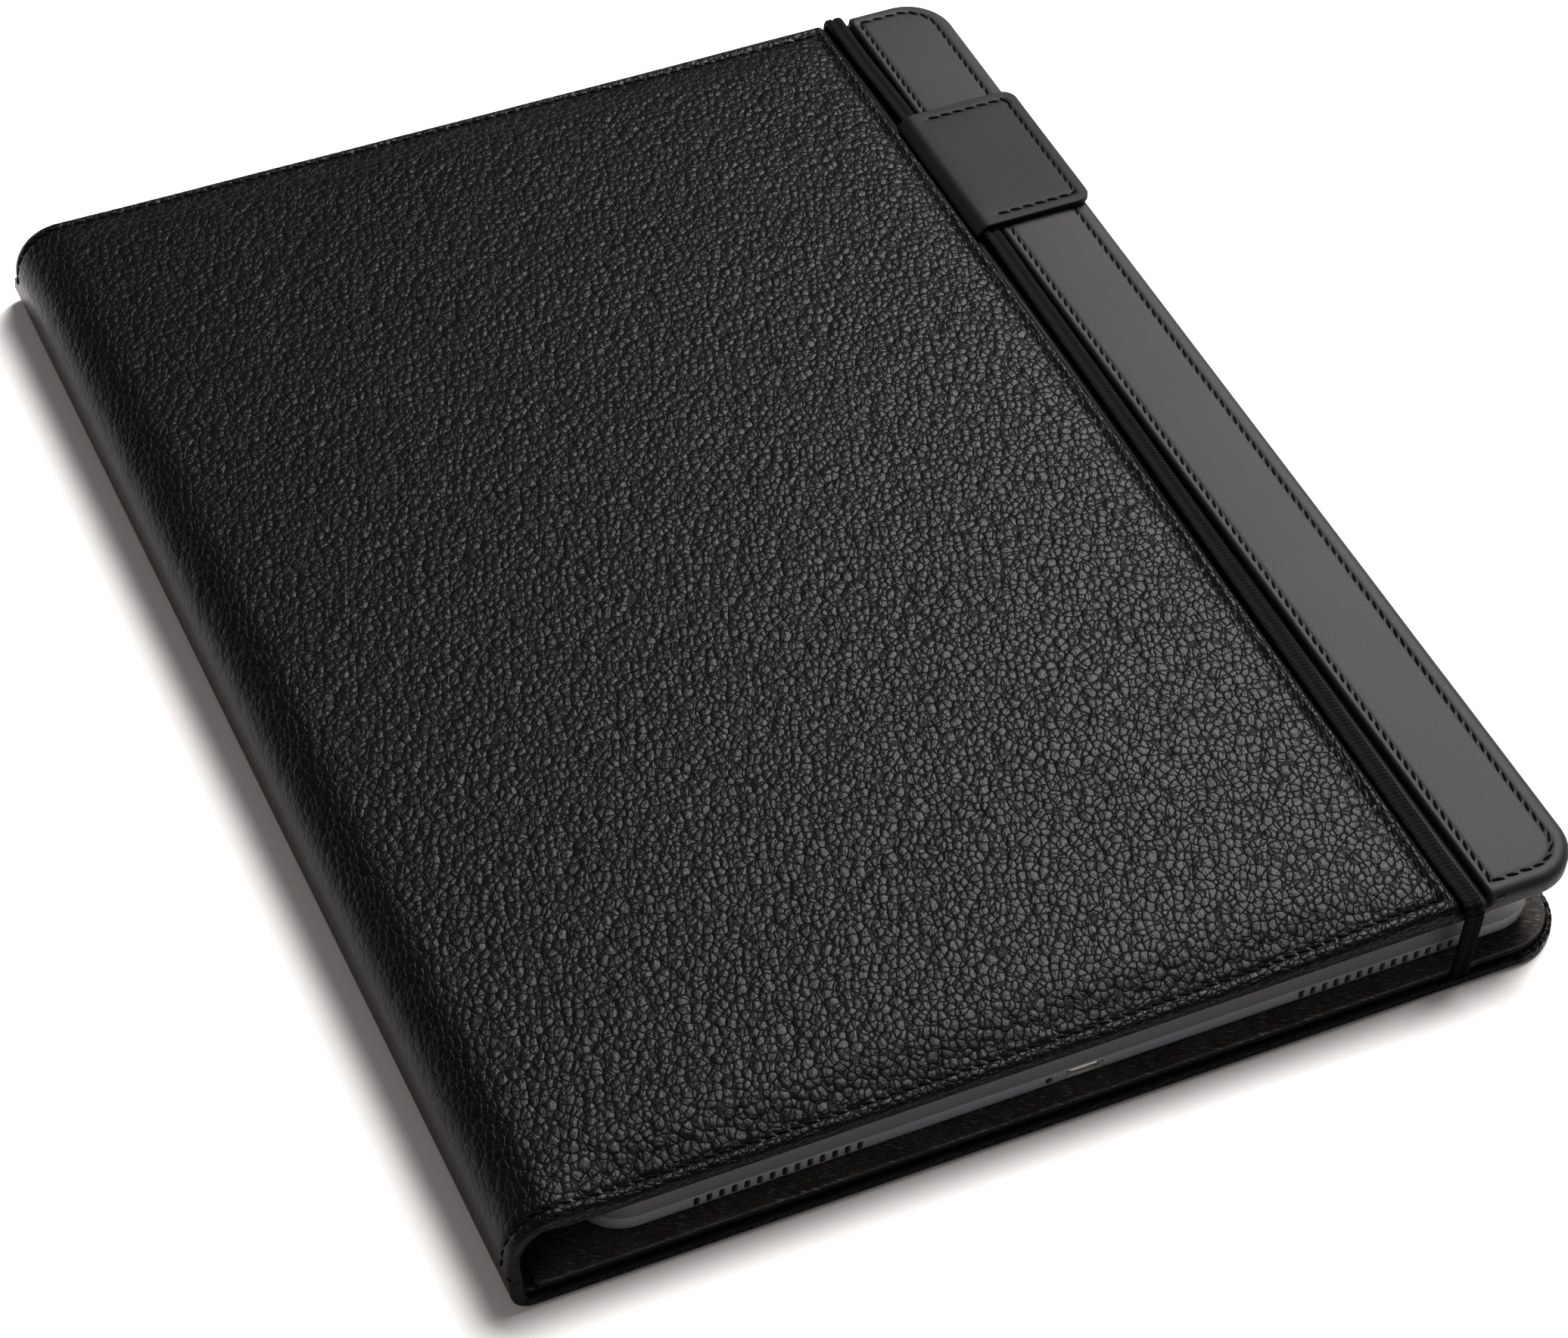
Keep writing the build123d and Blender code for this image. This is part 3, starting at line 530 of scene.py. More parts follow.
def skin(name, path, half, corner, profile, material, relief=None, thickness=None,
         flat_step=1.5 * MM, row_step=1.5 * MM, rolled=("end",), closed=False, flat_from=0.0,
         seams=((), ()), corner_steps=9, rubbed=()):
    """A hide laid along a path, with its edges rolled over.

    profile lists (inset from the outline, depth as a share of the thickness), from the top edge round.
    rolled names the path's ends whose edge is rolled like the two sides; an end that isn't stays open.
    relief raises the face, as a function of distance along the path and of Y. closed adds a back face.
    seams lists more distances along the path, and more Y, where the mesh has points. The last argument lists
    the rows of the profile painted with a warm rim light, where the edge lies along the bottom.
    """
    profile = np.array(profile, float)
    inset = profile[0, 0]
    corner = max(corner - inset, 0.0)
    first = inset if "start" in rolled else 0.0
    last = path.length - (inset if "end" in rolled else 0.0)
    y, reach, slope = skin_rows(half, half - inset - corner, corner, row_step, seams[1], corner_steps)
    base = skin_columns(path, first, last, corner, flat_step, seams[0], rolled, corner_steps)
    u = np.repeat(base[None, :], len(y), 0)
    if corner:
        share = (reach / corner)[:, None]
        if "end" in rolled:
            knee = last - corner
            u = np.where(u > knee, knee + (u - knee) * share, u)
        if "start" in rolled:
            knee = first + corner
            u = np.where(u < knee, knee - (knee - u) * share, u)
    rows, columns = u.shape

    def thick(distance):
        return thickness(distance) if callable(thickness) else np.full(np.shape(distance), thickness)

    top_u, top_v = u.ravel(), np.repeat(y[:, None], columns, 1).ravel()
    raised = relief(top_u, top_v) if relief else np.zeros(len(top_u))
    all_u, all_v, all_depth = [top_u], [top_v], [profile[0, 1] * thick(top_u) - raised]
    flats = [np.stack([top_u, top_v], 1)]
    rim_lit = [np.zeros(len(top_u))]
    faces = [grid_faces(0, rows, columns)]
    count = rows * columns
    last_rings = []
    for loop, outward, ring_closed in outline_loops(rows, columns, slope, rolled):
        previous = loop
        travelled = 0.0
        local = thick(top_u[loop])
        lowered = np.maximum(-raised[loop], 0.0)
        lifted = np.maximum(raised[loop], 0.0)
        for k in range(1, len(profile)):
            out = outward * (inset - profile[k, 0])
            step_depth = (profile[k, 1] - profile[k - 1, 1]) * np.median(local)
            travelled += math.hypot(profile[k, 0] - profile[k - 1, 0], step_depth)
            fade = np.clip(1 - k / RELIEF_ROWS, 0, 1)
            all_u.append(top_u[loop] + out[:, 0])
            all_v.append(top_v[loop] + out[:, 1])
            all_depth.append(profile[k, 1] * (local - lowered) + lowered - lifted * fade)
            flats.append(np.stack([top_u[loop], top_v[loop]], 1) + outward * travelled)
            rim_lit.append(np.full(len(loop), float(k in rubbed)))
            ring = np.arange(count, count + len(loop))
            count += len(loop)
            faces.append(strip_faces(previous, ring, ring_closed))
            previous = ring
        last_rings.append((previous, loop, ring_closed))
    if closed:
        all_u.append(top_u)
        all_v.append(top_v)
        all_depth.append(profile[-1, 1] * thick(top_u))
        flats.append(flats[0] + BACK_FACE_FLAT)
        rim_lit.append(rim_lit[0])
        faces.append(grid_faces(count, rows, columns)[:, ::-1])
        faces += [strip_faces(ring, loop + count, ring_closed) for ring, loop, ring_closed in last_rings]

    all_u, all_v, all_depth = (np.concatenate(a) for a in (all_u, all_v, all_depth))
    x, z, out_x, out_z = path.at(all_u)
    points = np.stack([x - out_x * all_depth, all_v, z - out_z * all_depth], 1)
    faces = np.concatenate(faces)
    a, b, c, _ = faces[(rows - 1) * (columns - 1) // 2]
    facing = np.cross(points[b] - points[a], points[c] - points[b])
    if facing[0] * out_x[a] + facing[2] * out_z[a] < 0:
        faces = faces[:, ::-1]
    flat = np.concatenate(flats)
    flat = np.stack([flat[:, 0] + flat_from, flat[:, 1], np.zeros(len(flat))], 1)
    # How much the hide faces -X: its grain is calmer there, and a painted warm bounce light from the floor
    # lightens it.
    calm = smoothstep(-out_x, 0.45, 0.95)
    # A painted warm rim light on the listed rows of the profile, where the edge lies along the bottom.
    rub = np.concatenate(rim_lit) * smoothstep(np.abs(out_z), 0.9, 1.0)
    return mesh_object(name, points, faces, material, flat=flat, rub=rub, calm=calm)


def smoothstep(value, low, high):
    """0 below low, 1 above high and a smooth rise between."""
    t = np.clip((value - low) / (high - low), 0, 1)
    return t * t * (3 - 2 * t)


def channel(distance, depth, width=0.50 * MM):
    """The line a row of stitches presses into leather."""
    return -depth * np.exp(-(distance / width) ** 2)


def halves(low, high):
    """The middle of each stitch in a row and of each gap between two."""
    return np.linspace(low, high, 2 * stitch_count(low, high) + 1)


def beside(*places):
    """Distances close together on both sides of each seam, so that its channel shows."""
    shares = (-1, -0.66, -0.4, -0.2, 0, 0.2, 0.4, 0.66, 1)
    return [place + 1.8 * MM * share for place in places for share in shares]


def pucker(distance, low, high):
    """1 where the thread goes down into the hide between two stitches and 0 in the middle of one."""
    step = (high - low) / stitch_count(low, high)
    return 0.5 + 0.5 * np.cos(2 * math.pi * (distance - low) / step)


def undulation(u, v, size, height, seed):
    """A slow waviness of a hide, the same each run."""
    return np.array([noise.noise(Vector((a / size, b / size, seed))) for a, b in zip(u, v)]) * height


# ---------------------------------------------------------------- leather and lining pieces
def edge_profile(top_r, under_r, turn_in, thick):
    """Rolls a cover's edge: round over the top, down the side, round under, and a little way in."""
    steps = 5
    turns = [math.radians(90 * k / steps) for k in range(steps + 1)]
    rows = [(top_r * (1 - math.sin(a)), top_r * (1 - math.cos(a)) / thick) for a in turns]
    rows += [(under_r * (1 - math.cos(a)), 1 - under_r * (1 - math.sin(a)) / thick) for a in turns[1:]]
    lining_depth = 1 - 0.8 * MM / thick
    return rows + [(turn_in, 1.0), (turn_in + 0.1 * MM, lining_depth), (turn_in + 1.5 * MM, lining_depth)]


def spine_half(z):
    """Half length of the spine at a height: the back cover's below, the front cover's above."""
    return BACK_Y - (BACK_Y - COVER_Y) * smoothstep(z, 2 * MM, 9.3 * MM)


def taper(piece, half):
    """Gives a piece's spine end the spine's length at each height, where it was made half that long."""
    count = len(piece.data.vertices)
    points = np.empty(count * 3)
    piece.data.vertices.foreach_get("co", points)
    points = points.reshape(count, 3)
    at_spine = 1 - smoothstep(points[:, 0], lower_high.x, lower_high.x + 6 * MM)
    points[:, 1] *= 1 + (spine_half(points[:, 2]) / half - 1) * at_spine
    piece.data.vertices.foreach_set("co", points.ravel())
    piece.data.update()


def upper_hide_path():
    """Up the spine, round its upper fold, over the front cover and down into the strap's groove."""
    path = Path(SPINE_X, SPINE_MID_Z, 90, 1).ahead(upper_low.z - SPINE_MID_Z).bend(UPPER_R, -90)
    roll = 1.1 * MM
    path.ahead(PANEL_END - roll - upper_high.x).bend(roll, -90).ahead(COVER_TOP - roll - GROOVE_Z)
    return path


def end_row(x):
    """How far out the panel's end rows run: nearer the edge towards the spine."""
    return END_ROW_Y + 0.8 * MM * (1 - smoothstep(x, 0.0, 60 * MM))


def pressed_edge(x, y):
    """How far the padding is pressed down towards the panel's two ends, most along the lower one."""
    most = np.where(y < 0, 1.5 * MM, 0.3 * MM)
    inside = end_row(x) - np.abs(y)
    return most * (1 - smoothstep(inside, -1.0 * MM, 11 * MM)) * (1 - smoothstep(x, 30 * MM, 74 * MM))


def past_fold(u):
    """0 at the spine and 1 where the front hide lies fully on the padding, at a distance along it."""
    return smoothstep(u, 10 * MM, 34 * MM)


def front_hide():
    """The pebbled hide of the spine and the front panel, sewn along its ends and the strap's groove."""
    path = upper_hide_path()
    fold_end = path.marks[2]
    stitch_u = fold_end + PANEL_STITCH_X - upper_high.x
    width = 0.62 * MM

    def relief(u, v):
        x = upper_high.x + u - fold_end
        side = end_row(x) - np.abs(v)
        groove_side = stitch_u - u
        pressed = channel(side, 0.34 * MM, width) * (0.8 + 0.35 * pucker(u, fold_end, stitch_u))
        by_v = 0.8 + 0.35 * pucker(v, -END_ROW_Y, END_ROW_Y)
        pressed = pressed + np.where(side > -0.3 * MM, channel(groove_side, 0.42 * MM, width) * by_v, 0)
        inside = np.minimum(side, groove_side)
        crown = 0.40 * MM * smoothstep(inside, 0.3 * MM, 7 * MM)
        wave = undulation(u, v, 22 * MM, 0.10 * MM, 1.0)
        wave = wave + undulation(u, v, 5 * MM, 0.06 * MM, 2.0) * smoothstep(inside, -2 * MM, 3 * MM)
        stays = smoothstep(u, 0.0, 4 * MM) * smoothstep(path.marks[3] - u, 0.0, 1.2 * MM)
        flatter = pressed_edge(x, v) * past_fold(u)
        return (pressed + crown * smoothstep(u, 6 * MM, 26 * MM) + wave - flatter) * stays

    def thickness(u):
        return SPINE_THICK + (COVER_THICK - SPINE_THICK) * smoothstep(u, 10 * MM, fold_end + 2 * MM)

    seams = ([*halves(fold_end, stitch_u), *beside(stitch_u)],
             [*halves(-END_ROW_Y, END_ROW_Y), *beside(-END_ROW_Y, END_ROW_Y)])
    piece = skin("front_hide", path, COVER_Y, 0.0,
                 edge_profile(1.7 * MM, 1.0 * MM, 1.6 * MM, COVER_THICK), LOOKS["pebbled_leather"],
                 relief, thickness, flat_step=8 * MM, row_step=1.0, rolled=(), seams=seams)
    taper(piece, COVER_Y)
    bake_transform(piece)
    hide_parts("front_panel_leather", "upper_fold_leather")
    return path


def padding():
    """The foam under the panel: as the hide, thinner towards the two ends."""
    low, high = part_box("panel_padding")
    clearance = 0.2 * MM
    path = Path(low.x, high.z, 0, 1).ahead(high.x - low.x)

    def relief(u, v):
        return -np.minimum(pressed_edge(low.x + u, v) * smoothstep(u, 0, 20 * MM),
                           high.z - low.z - clearance)

    edge = [(0.3 * MM, 0.0), (0.1 * MM, 0.2), (0.0, 0.6), (0.0, 1.0)]
    piece = skin("panel_foam", path, high.y, 2 * MM, edge, LOOKS["padding"], relief, high.z - low.z,
                 flat_step=6 * MM, row_step=1.5 * MM, rolled=("start", "end"), closed=True)
    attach(piece, "front_cover")
    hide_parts("panel_padding")


def band_path():
    """From the groove's floor up its side and over the smooth band to the fore-edge."""
    rise = COVER_TOP - GROOVE_Z
    roll, foot = 0.9 * MM, 0.4 * MM
    path = Path(PANEL_END - 1.5 * MM, GROOVE_Z, 0, 1)
    path.ahead(BAND_START - foot - path.points[-1][0]).bend(foot, 90)
    path.ahead(rise - foot - roll).bend(roll, -90)
    path.ahead(COVER_FORE - path.points[-1][0])
    return path


def front_band():
    """The smooth band along the fore-edge, with the strap's groove beside it and its own rows of stitches."""
    path = band_path()
    top_u = path.marks[4]
    top_x = path.at(np.array([top_u]))[0][0]
    inner_u = top_u + BAND_STITCH_X - top_x
    outer_u = path.length - BAND_FORE_INSET
    corner = COVER_CORNER - BAND_FORE_INSET

    def relief(u, v):
        on_band = smoothstep(u, top_u - 0.6 * MM, top_u + 0.4 * MM)
        across = np.maximum(u - (outer_u - corner), 0)
        along = np.maximum(np.abs(v) - (END_ROW_Y - corner), 0)
        edge = np.where((across > 0) & (along > 0), corner - np.hypot(across, along),
                        np.minimum(outer_u - u, END_ROW_Y - np.abs(v)))
        inner = u - inner_u
        by_v = 0.8 + 0.4 * pucker(v, corner - END_ROW_Y, END_ROW_Y - corner)
        pressed = channel(edge, 0.20 * MM) * by_v
        pressed = pressed + np.where(edge > -0.2 * MM, channel(inner, 0.20 * MM) * by_v, 0)
        crown = 0.07 * MM * smoothstep(np.minimum(edge, inner), 0.0, 5 * MM)
        wave = undulation(u, v, 30 * MM, 0.08 * MM, 3.0)
        return (pressed + crown + wave) * on_band

    def thickness(u):
        in_groove = GROOVE_Z - COVER_UNDER
        return in_groove + (COVER_THICK - in_groove) * smoothstep(u, path.marks[1], path.marks[4])

    seams = ([*np.arange(outer_u - corner, path.length, 0.6 * MM), *beside(inner_u, outer_u)],
             [*halves(corner - END_ROW_Y, END_ROW_Y - corner)])
    # Rows 7 and 8 of the edge carry a painted warm rim light.
    piece = skin("front_band", path, COVER_Y, COVER_CORNER,
                 edge_profile(1.7 * MM, 1.3 * MM, 2.4 * MM, COVER_THICK), LOOKS["smooth_leather"],
                 relief, thickness, flat_step=1.6 * MM, row_step=1.0, seams=seams, corner_steps=24,
                 rubbed=(7, 8))
    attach(piece, "front_cover")
    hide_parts("front_band_leather")


def lower_hide_path():
    """Down the spine, round its lower fold and under the back cover to its fore-edge."""
    path = Path(SPINE_X, SPINE_MID_Z, -90, -1).ahead(SPINE_MID_Z - lower_high.z).bend(LOWER_R, 90)
    return path.ahead(BACK_FORE - lower_high.x)


def roll_profile():
    """The back cover's edge: round under, up the side, over a low roll, then down beside the lining."""
    under_r, top_r = 0.5 * MM, ROLL_WIDTH / 2
    under_turns = [math.radians(90 * k / 4) for k in range(5)]
    top_turns = [math.radians(180 * k / 8) for k in range(1, 9)]
    lining_depth = 0.45
    rows = [(under_r * (1 - math.sin(a)), under_r * (1 - math.cos(a)) / ROLL_TOP) for a in under_turns]
    rows += [(top_r * (1 - math.cos(a)), 1 - top_r * (1 - math.sin(a)) / ROLL_TOP) for a in top_turns]
    return rows + [(ROLL_WIDTH + 0.1 * MM, lining_depth), (ROLL_WIDTH + 2.5 * MM, lining_depth)]


def back_hide():
    """The pebbled hide under the spine and the back cover, pleated where it turns over its corners."""
    path = lower_hide_path()
    fold_end = path.marks[2]

    def thickness(u):
        return SPINE_THICK + (ROLL_TOP - SPINE_THICK) * smoothstep(u, 0, fold_end + 3 * MM)

    def lie(u, v):
        return undulation(u, v, 30 * MM, 0.03 * MM, 5.0) - 0.03 * MM

    # Rows 2 and 3 of the roll carry a painted warm rim light.
    piece = skin("back_hide", path, BACK_Y, BACK_CORNER, roll_profile(), LOOKS["pebbled_leather"], lie,
                 thickness, flat_step=3 * MM, row_step=3 * MM, flat_from=-400 * MM, corner_steps=49,
                 rubbed=(2, 3))
    pleat(piece)
    taper(piece, BACK_Y)
    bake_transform(piece)
    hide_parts("back_outer_leather", "lower_fold_leather", "spine_leather")


def pleat(piece):
    """Gathers the leather turned over the back cover's fore corners into pleats."""
    pleats = 11
    low_z, depth = 0.8 * MM, 0.42 * MM
    centre_x, centre_y = BACK_FORE - BACK_CORNER, BACK_Y - BACK_CORNER
    for vertex in piece.data.vertices:
        x, y, z = vertex.co
        if x <= centre_x or abs(y) <= centre_y or z < low_z:
            continue
        across, along = x - centre_x, abs(y) - centre_y
        turn = math.atan2(along, across) / (math.pi / 2)
        wobble = noise.noise(Vector((turn * 9, y / BACK_Y, 4.0)))
        fold = abs(math.sin(math.pi * (turn * pleats + 0.7 * wobble)))
        vertex.co.z -= depth * (1 - fold) ** 1.5 * float(smoothstep(np.array(z), low_z, ROLL_TOP))


def lining_profile(edge_r):
    """A thin lining's soft edge."""
    return [(edge_r, 0.0), (edge_r * 0.4, 0.12), (edge_r * 0.1, 0.4), (0.0, 1.0)]


def lining_path(heading, side, straight, radius, step, end_x):
    """Along the spine's inside, round a fold, over a step of the cover beyond it and to end_x."""
    step_r = 2 * MM
    bend = math.degrees(math.acos(1 - abs(step) / (2 * step_r))) * math.copysign(1, step)
    path = Path(spine_lining_high.x, SPINE_MID_Z, heading, side).ahead(straight)
    path.bend(radius, -heading).bend(step_r, bend).bend(step_r, -bend)
    return path.ahead(end_x - path.points[-1][0])


def linings():
    """The two suede linings: of the front cover with the spine, and of the back cover."""
    material = LOOKS["suede_lining"]
    thick = 0.7 * MM

    def nap(u, v):
        return undulation(u, v, 14 * MM, 0.06 * MM, 7.0)

    radius = upper_high.x - spine_lining_high.x
    path = lining_path(90, -1, upper_low.z - SPINE_MID_Z, radius, COVER_UNDER - upper_low.z - radius,
                       cover_lining_high.x)
    piece = skin("front_suede", path, COVER_Y - RIM_WIDTH, COVER_CORNER - RIM_WIDTH,
                 lining_profile(0.5 * MM), material, nap, thick, flat_step=3 * MM, row_step=3 * MM)
    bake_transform(piece)
    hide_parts("front_lining", "upper_fold_lining", "spine_lining")

    radius = lower_high.x - spine_lining_high.x

    def back_thick(u):
        return thick + 1.2 * MM * smoothstep(u, radius, radius + 12 * MM)

    path = lining_path(-90, 1, SPINE_MID_Z - lower_high.z, radius, back_lining_high.z - lower_high.z + radius,
                       BACK_FORE - ROLL_WIDTH)
    piece = skin("back_suede", path, BACK_Y - ROLL_WIDTH, BACK_CORNER - ROLL_WIDTH,
                 lining_profile(0.4 * MM), material, nap, back_thick, flat_step=3 * MM, row_step=3 * MM,
                 corner_steps=16)
    taper(piece, BACK_Y)
    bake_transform(piece)
    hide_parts("back_lining", "lower_fold_lining")


# ---------------------------------------------------------------- stitches
def threads(name, places, look="thread", length=2.4 * MM, width=0.52 * MM, lean=0.12):
    """Sewn stitches: places lists (point, direction along, direction out) for each."""
    rings, sides, rise = 7, 8, 0.14 * MM
    points, along, faces = [], [], []
    for index, (point, forward, out) in enumerate(places):
        forward, out = Vector(forward).normalized(), Vector(out).normalized()
        aside = forward.cross(out)
        slant = aside * lean * length
        first = len(points)
        for r in range(rings):
            t = r / (rings - 1)
            s = 2 * t - 1
            hump = 1 - abs(s) ** 3
            size = width / 2 * (0.55 + 0.45 * math.sqrt(max(0.0, 1 - s * s * 0.9)))
            centre = Vector(point) + forward * (s * length / 2) + slant * s
            centre += out * (rise * (1.9 * hump - 1.2))
            for k in range(sides):
                a = 2 * math.pi * k / sides
                points.append(centre + aside * (size * math.cos(a)) + out * (size * 0.8 * math.sin(a)))
                along.append((width * k / sides * 3, index * 0.37 * MM + t * length, 0.0))
        faces += tube_faces(first, rings, sides)
    return mesh_object(name, points, faces, LOOKS[look], along=along)


def stitch_count(low, high, pitch=STITCH_PITCH):
    return max(1, int(round((high - low) / pitch)))


def evenly(low, high, pitch=STITCH_PITCH):
    """The middle of each stitch in a row."""
    count = stitch_count(low, high, pitch)
    return [low + (high - low) * (i + 0.5) / count for i in range(count)]


def row_on_path(path, u_low, u_high, y, lift=0.0):
    """Stitches that follow a path at one Y."""
    places = []
    for u in evenly(u_low, u_high):
        x, z, out_x, out_z = (float(a[0]) for a in path.at(np.array([u])))
        places.append(((x + out_x * lift, y, z + out_z * lift), (out_z, 0, -out_x), (out_x, 0, out_z)))
    return places


def row_along_y(x, y_low, y_high, z, up=1.0, pitch=STITCH_PITCH):
    return [((x, y, z), (0, 1, 0), (0, 0, up)) for y in evenly(y_low, y_high, pitch)]


def row_along_x(x_low, x_high, y, z, up=1.0, pitch=STITCH_PITCH):
    return [((x, y, z), (1, 0, 0), (0, 0, up)) for x in evenly(x_low, x_high, pitch)]


def row_round_corner(x, y, radius, side, z, up=1.0, pitch=STITCH_PITCH):
    """Stitches round a corner's centre, on the fore-edge's upper side in Y where side is 1."""
    places = []
    for a in evenly(0.0, math.pi / 2, pitch / radius):
        across, along = math.cos(a), side * math.sin(a)
        places.append(((x + radius * across, y + radius * along, z), (-along, across, 0), (0, 0, up)))
    return places


def perimeter(start_x, fore_x, end_y, corner, z, up=1.0, pitch=STITCH_PITCH):
    """Stitches along a cover's fore-edge and both its ends, as far back as start_x."""
    places = row_along_y(fore_x, corner - end_y, end_y - corner, z, up, pitch)
    for side in (-1, 1):
        places += row_along_x(start_x, fore_x - corner, side * end_y, z, up, pitch)
        places += row_round_corner(fore_x - corner, side * (end_y - corner), corner, side, z, up, pitch)
    return places


def stitches(hide):
    """All the rows sewn through the covers; hide is the front hide's path."""
    fold_end = hide.marks[2]
    stop_u = fold_end + PANEL_STITCH_X - upper_high.x
    sunk = -0.24 * MM
    flat_rows, fold_rows, spine_rows = [], [], []
    for side in (-1, 1):
        for u in evenly(fold_end, stop_u):
            x = upper_high.x + u - fold_end
            y = side * end_row(x)
            z = COVER_TOP + sunk - pressed_edge(x, y) * past_fold(u)
            flat_rows.append(((x, float(y), float(z)), (1, 0, 0), (0, 0, 1)))
        row_y = side * float(end_row(SPINE_X))
        fold_rows += row_on_path(hide, hide.marks[1], fold_end, row_y, sunk)
        spine_rows += row_on_path(hide, 0.3 * MM, hide.marks[1], row_y, 0.0)
    flat_rows += row_along_y(PANEL_STITCH_X, -END_ROW_Y, END_ROW_Y, COVER_TOP - 0.30 * MM)
    panel = threads("panel_seam", flat_rows)
    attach(panel, "front_cover")
    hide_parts("panel_stitches")
    fold = threads("fold_seam", fold_rows)
    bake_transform(fold)
    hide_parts("upper_fold_stitches")
    spine = threads("spine_seam", spine_rows)
    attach(spine, "spine")
    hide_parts("spine_stitches")

    top = COVER_TOP - SEAM_SINK
    fore_x = COVER_FORE - BAND_FORE_INSET
    corner = COVER_CORNER - BAND_FORE_INSET
    rows = perimeter(BAND_STITCH_X, fore_x, END_ROW_Y, corner, top)
    gap = 0.6 * MM
    rows += row_along_y(BAND_STITCH_X, -END_ROW_Y, tab_low.y - gap, top)
    rows += row_along_y(BAND_STITCH_X, tab_high.y + gap, END_ROW_Y, top)
    rows = [r for r in rows if not (tab_low.y - gap < r[0][1] < tab_high.y + gap)]
    band = threads("band_seam", rows)
    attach(band, "front_cover")
    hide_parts("band_stitches")

    inner_rows = perimeter(upper_high.x + 6 * MM, fore_x, END_ROW_Y - 0.6 * MM, corner,
                           COVER_UNDER + LINING_SINK, -1.0, LINING_PITCH)
    inner = threads("front_lining_seam", inner_rows, "lining_thread", 1.7 * MM, 0.5 * MM, 0.25)
    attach(inner, "front_cover")
    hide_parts("front_lining_stitches")

    low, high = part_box("back_lining_stitches")
    inset = BACK_Y - high.y
    back_rows = perimeter(lower_high.x + 3 * MM, BACK_FORE - inset, high.y, BACK_CORNER - inset,
                          back_lining_high.z - LINING_SINK, 1.0, LINING_PITCH)
    back = threads("back_lining_seam", back_rows, "lining_thread", 1.7 * MM, 0.5 * MM, 0.25)
    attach(back, "back_cover")
    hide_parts("back_lining_stitches")


# ---------------------------------------------------------------- strap and pull tab
def strap_section(width, thick):
    """Outline of two round ribs side by side, with the groove between them."""
    outline = []
    sides = 28
    for k in range(sides):
        a = 2 * math.pi * k / sides
        across, up = math.cos(a), math.sin(a)
        waist_in = 1 - 0.50 * math.exp(-(across / 0.16) ** 2)
        x = width / 2 * math.copysign(abs(across) ** 0.75, across)
        outline.append((x, thick / 2 * math.copysign(abs(up) ** 0.6, up) * waist_in))
    return outline


STRAP_RIB = (run_high.x - run_low.x) / 2
WAIST = 0.35 * MM              # half width of the groove between the ribs
LOOP_PITCH = 0.95 * MM
LOOP_RISE = 0.24               # how much thicker a rib is at a loop of the knit, as a share


def strap_piece(name, stations):
    """The strap along stations of (x, y, z, direction out of its face in the Y-Z plane, width share)."""
    section = strap_section(run_high.x - run_low.x, run_high.z - run_low.z)
    points, along, loops = [], [], []
    travelled = 0.0
    before = None
    for x, y, z, out_y, out_z, narrow in stations:
        here = Vector((x, y, z))
        travelled += (here - before).length if before else 0.0
        before = here
        for across, up in section:
            row = abs(across) / STRAP_RIB * 0.5
            wave = math.sin(2 * math.pi * (travelled / LOOP_PITCH + row))
            loop = math.copysign(abs(wave) ** 0.6, wave)
            on_rib = 1 - math.exp(-(across / WAIST) ** 2)
            up = up * (1 + LOOP_RISE * loop * on_rib)
            points.append((x + across * narrow, y + out_y * up, z + out_z * up))
            along.append((across, travelled, 0.0))
            # The loop layer masks the elastic's painted light and shade: high on a rising loop, 0 in the
            # groove between the ribs.
            loops.append((0.5 + 0.5 * loop) * on_rib)
    size = len(stations), len(section)
    piece = mesh_object(name, points, tube_faces(0, *size) + end_faces(*size), LOOKS["elastic"],
                        along=along, loop=loops)
    return piece


def strap_middle(y):
    """Where the run lies across its groove: it bows towards the fore-edge at the pull tab."""
    pulled = smoothstep(y, -run_high.y, tab_low.y) * (1 - 0.4 * smoothstep(y, tab_high.y, run_high.y))
    return float((run_low.x + run_high.x) / 2 - 0.6 * MM + 1.5 * MM * pulled)


def strap():
    """The run along the groove, narrowed inside the pull tab, and a leg down each end of the case."""
    middle_z = (run_low.z + run_high.z) / 2
    bend_r = 2.0 * MM
    leg_y = leg_high.y - (run_high.z - run_low.z) / 2
    bend_y = leg_y - bend_r
    bend_z = middle_z - bend_r
    tab_middle = (tab_low.y + tab_high.y) / 2
    tab_half = (tab_high.y - tab_low.y) / 2

    def sink(y):
        away = smoothstep(np.abs(y - tab_middle), tab_half, tab_half + 22 * MM)
        return float(-0.45 * MM * away * smoothstep(bend_y - np.abs(y), 0.0, 12 * MM))

    def in_loop(y):
        return float(1 - smoothstep(np.abs(y - tab_middle), tab_half - 2 * MM, tab_half - 0.5 * MM))

    run = [(strap_middle(y) - 0.2 * MM * in_loop(y), y, middle_z + sink(y), 0.0, 1.0, 1 - 0.4 * in_loop(y))
           for y in np.linspace(-bend_y, bend_y, 900)]
    piece = strap_piece("elastic_run", run)
    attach(piece, "strap")
    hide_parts("strap_run")
    for side, name, node in ((1, "elastic_upper_leg", "strap_upper_leg"),
                             (-1, "elastic_lower_leg", "strap_lower_leg")):
        middle_x = strap_middle(side * bend_y)
        stations = []
        for a in np.linspace(0, math.pi / 2, 12):
            stations.append((middle_x, side * (bend_y + bend_r * math.sin(a)),
                             middle_z - bend_r * (1 - math.cos(a)), side * math.sin(a), math.cos(a), 1.0))
        for z in np.linspace(bend_z, leg_low.z, 48)[1:]:
            lean = (bend_z - z) / (bend_z - leg_low.z)
            stations.append((middle_x - 0.9 * MM * lean, side * leg_y, z, side, 0.0, 1.0))
        piece = strap_piece(name, stations)
        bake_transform(piece)
        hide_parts(node)


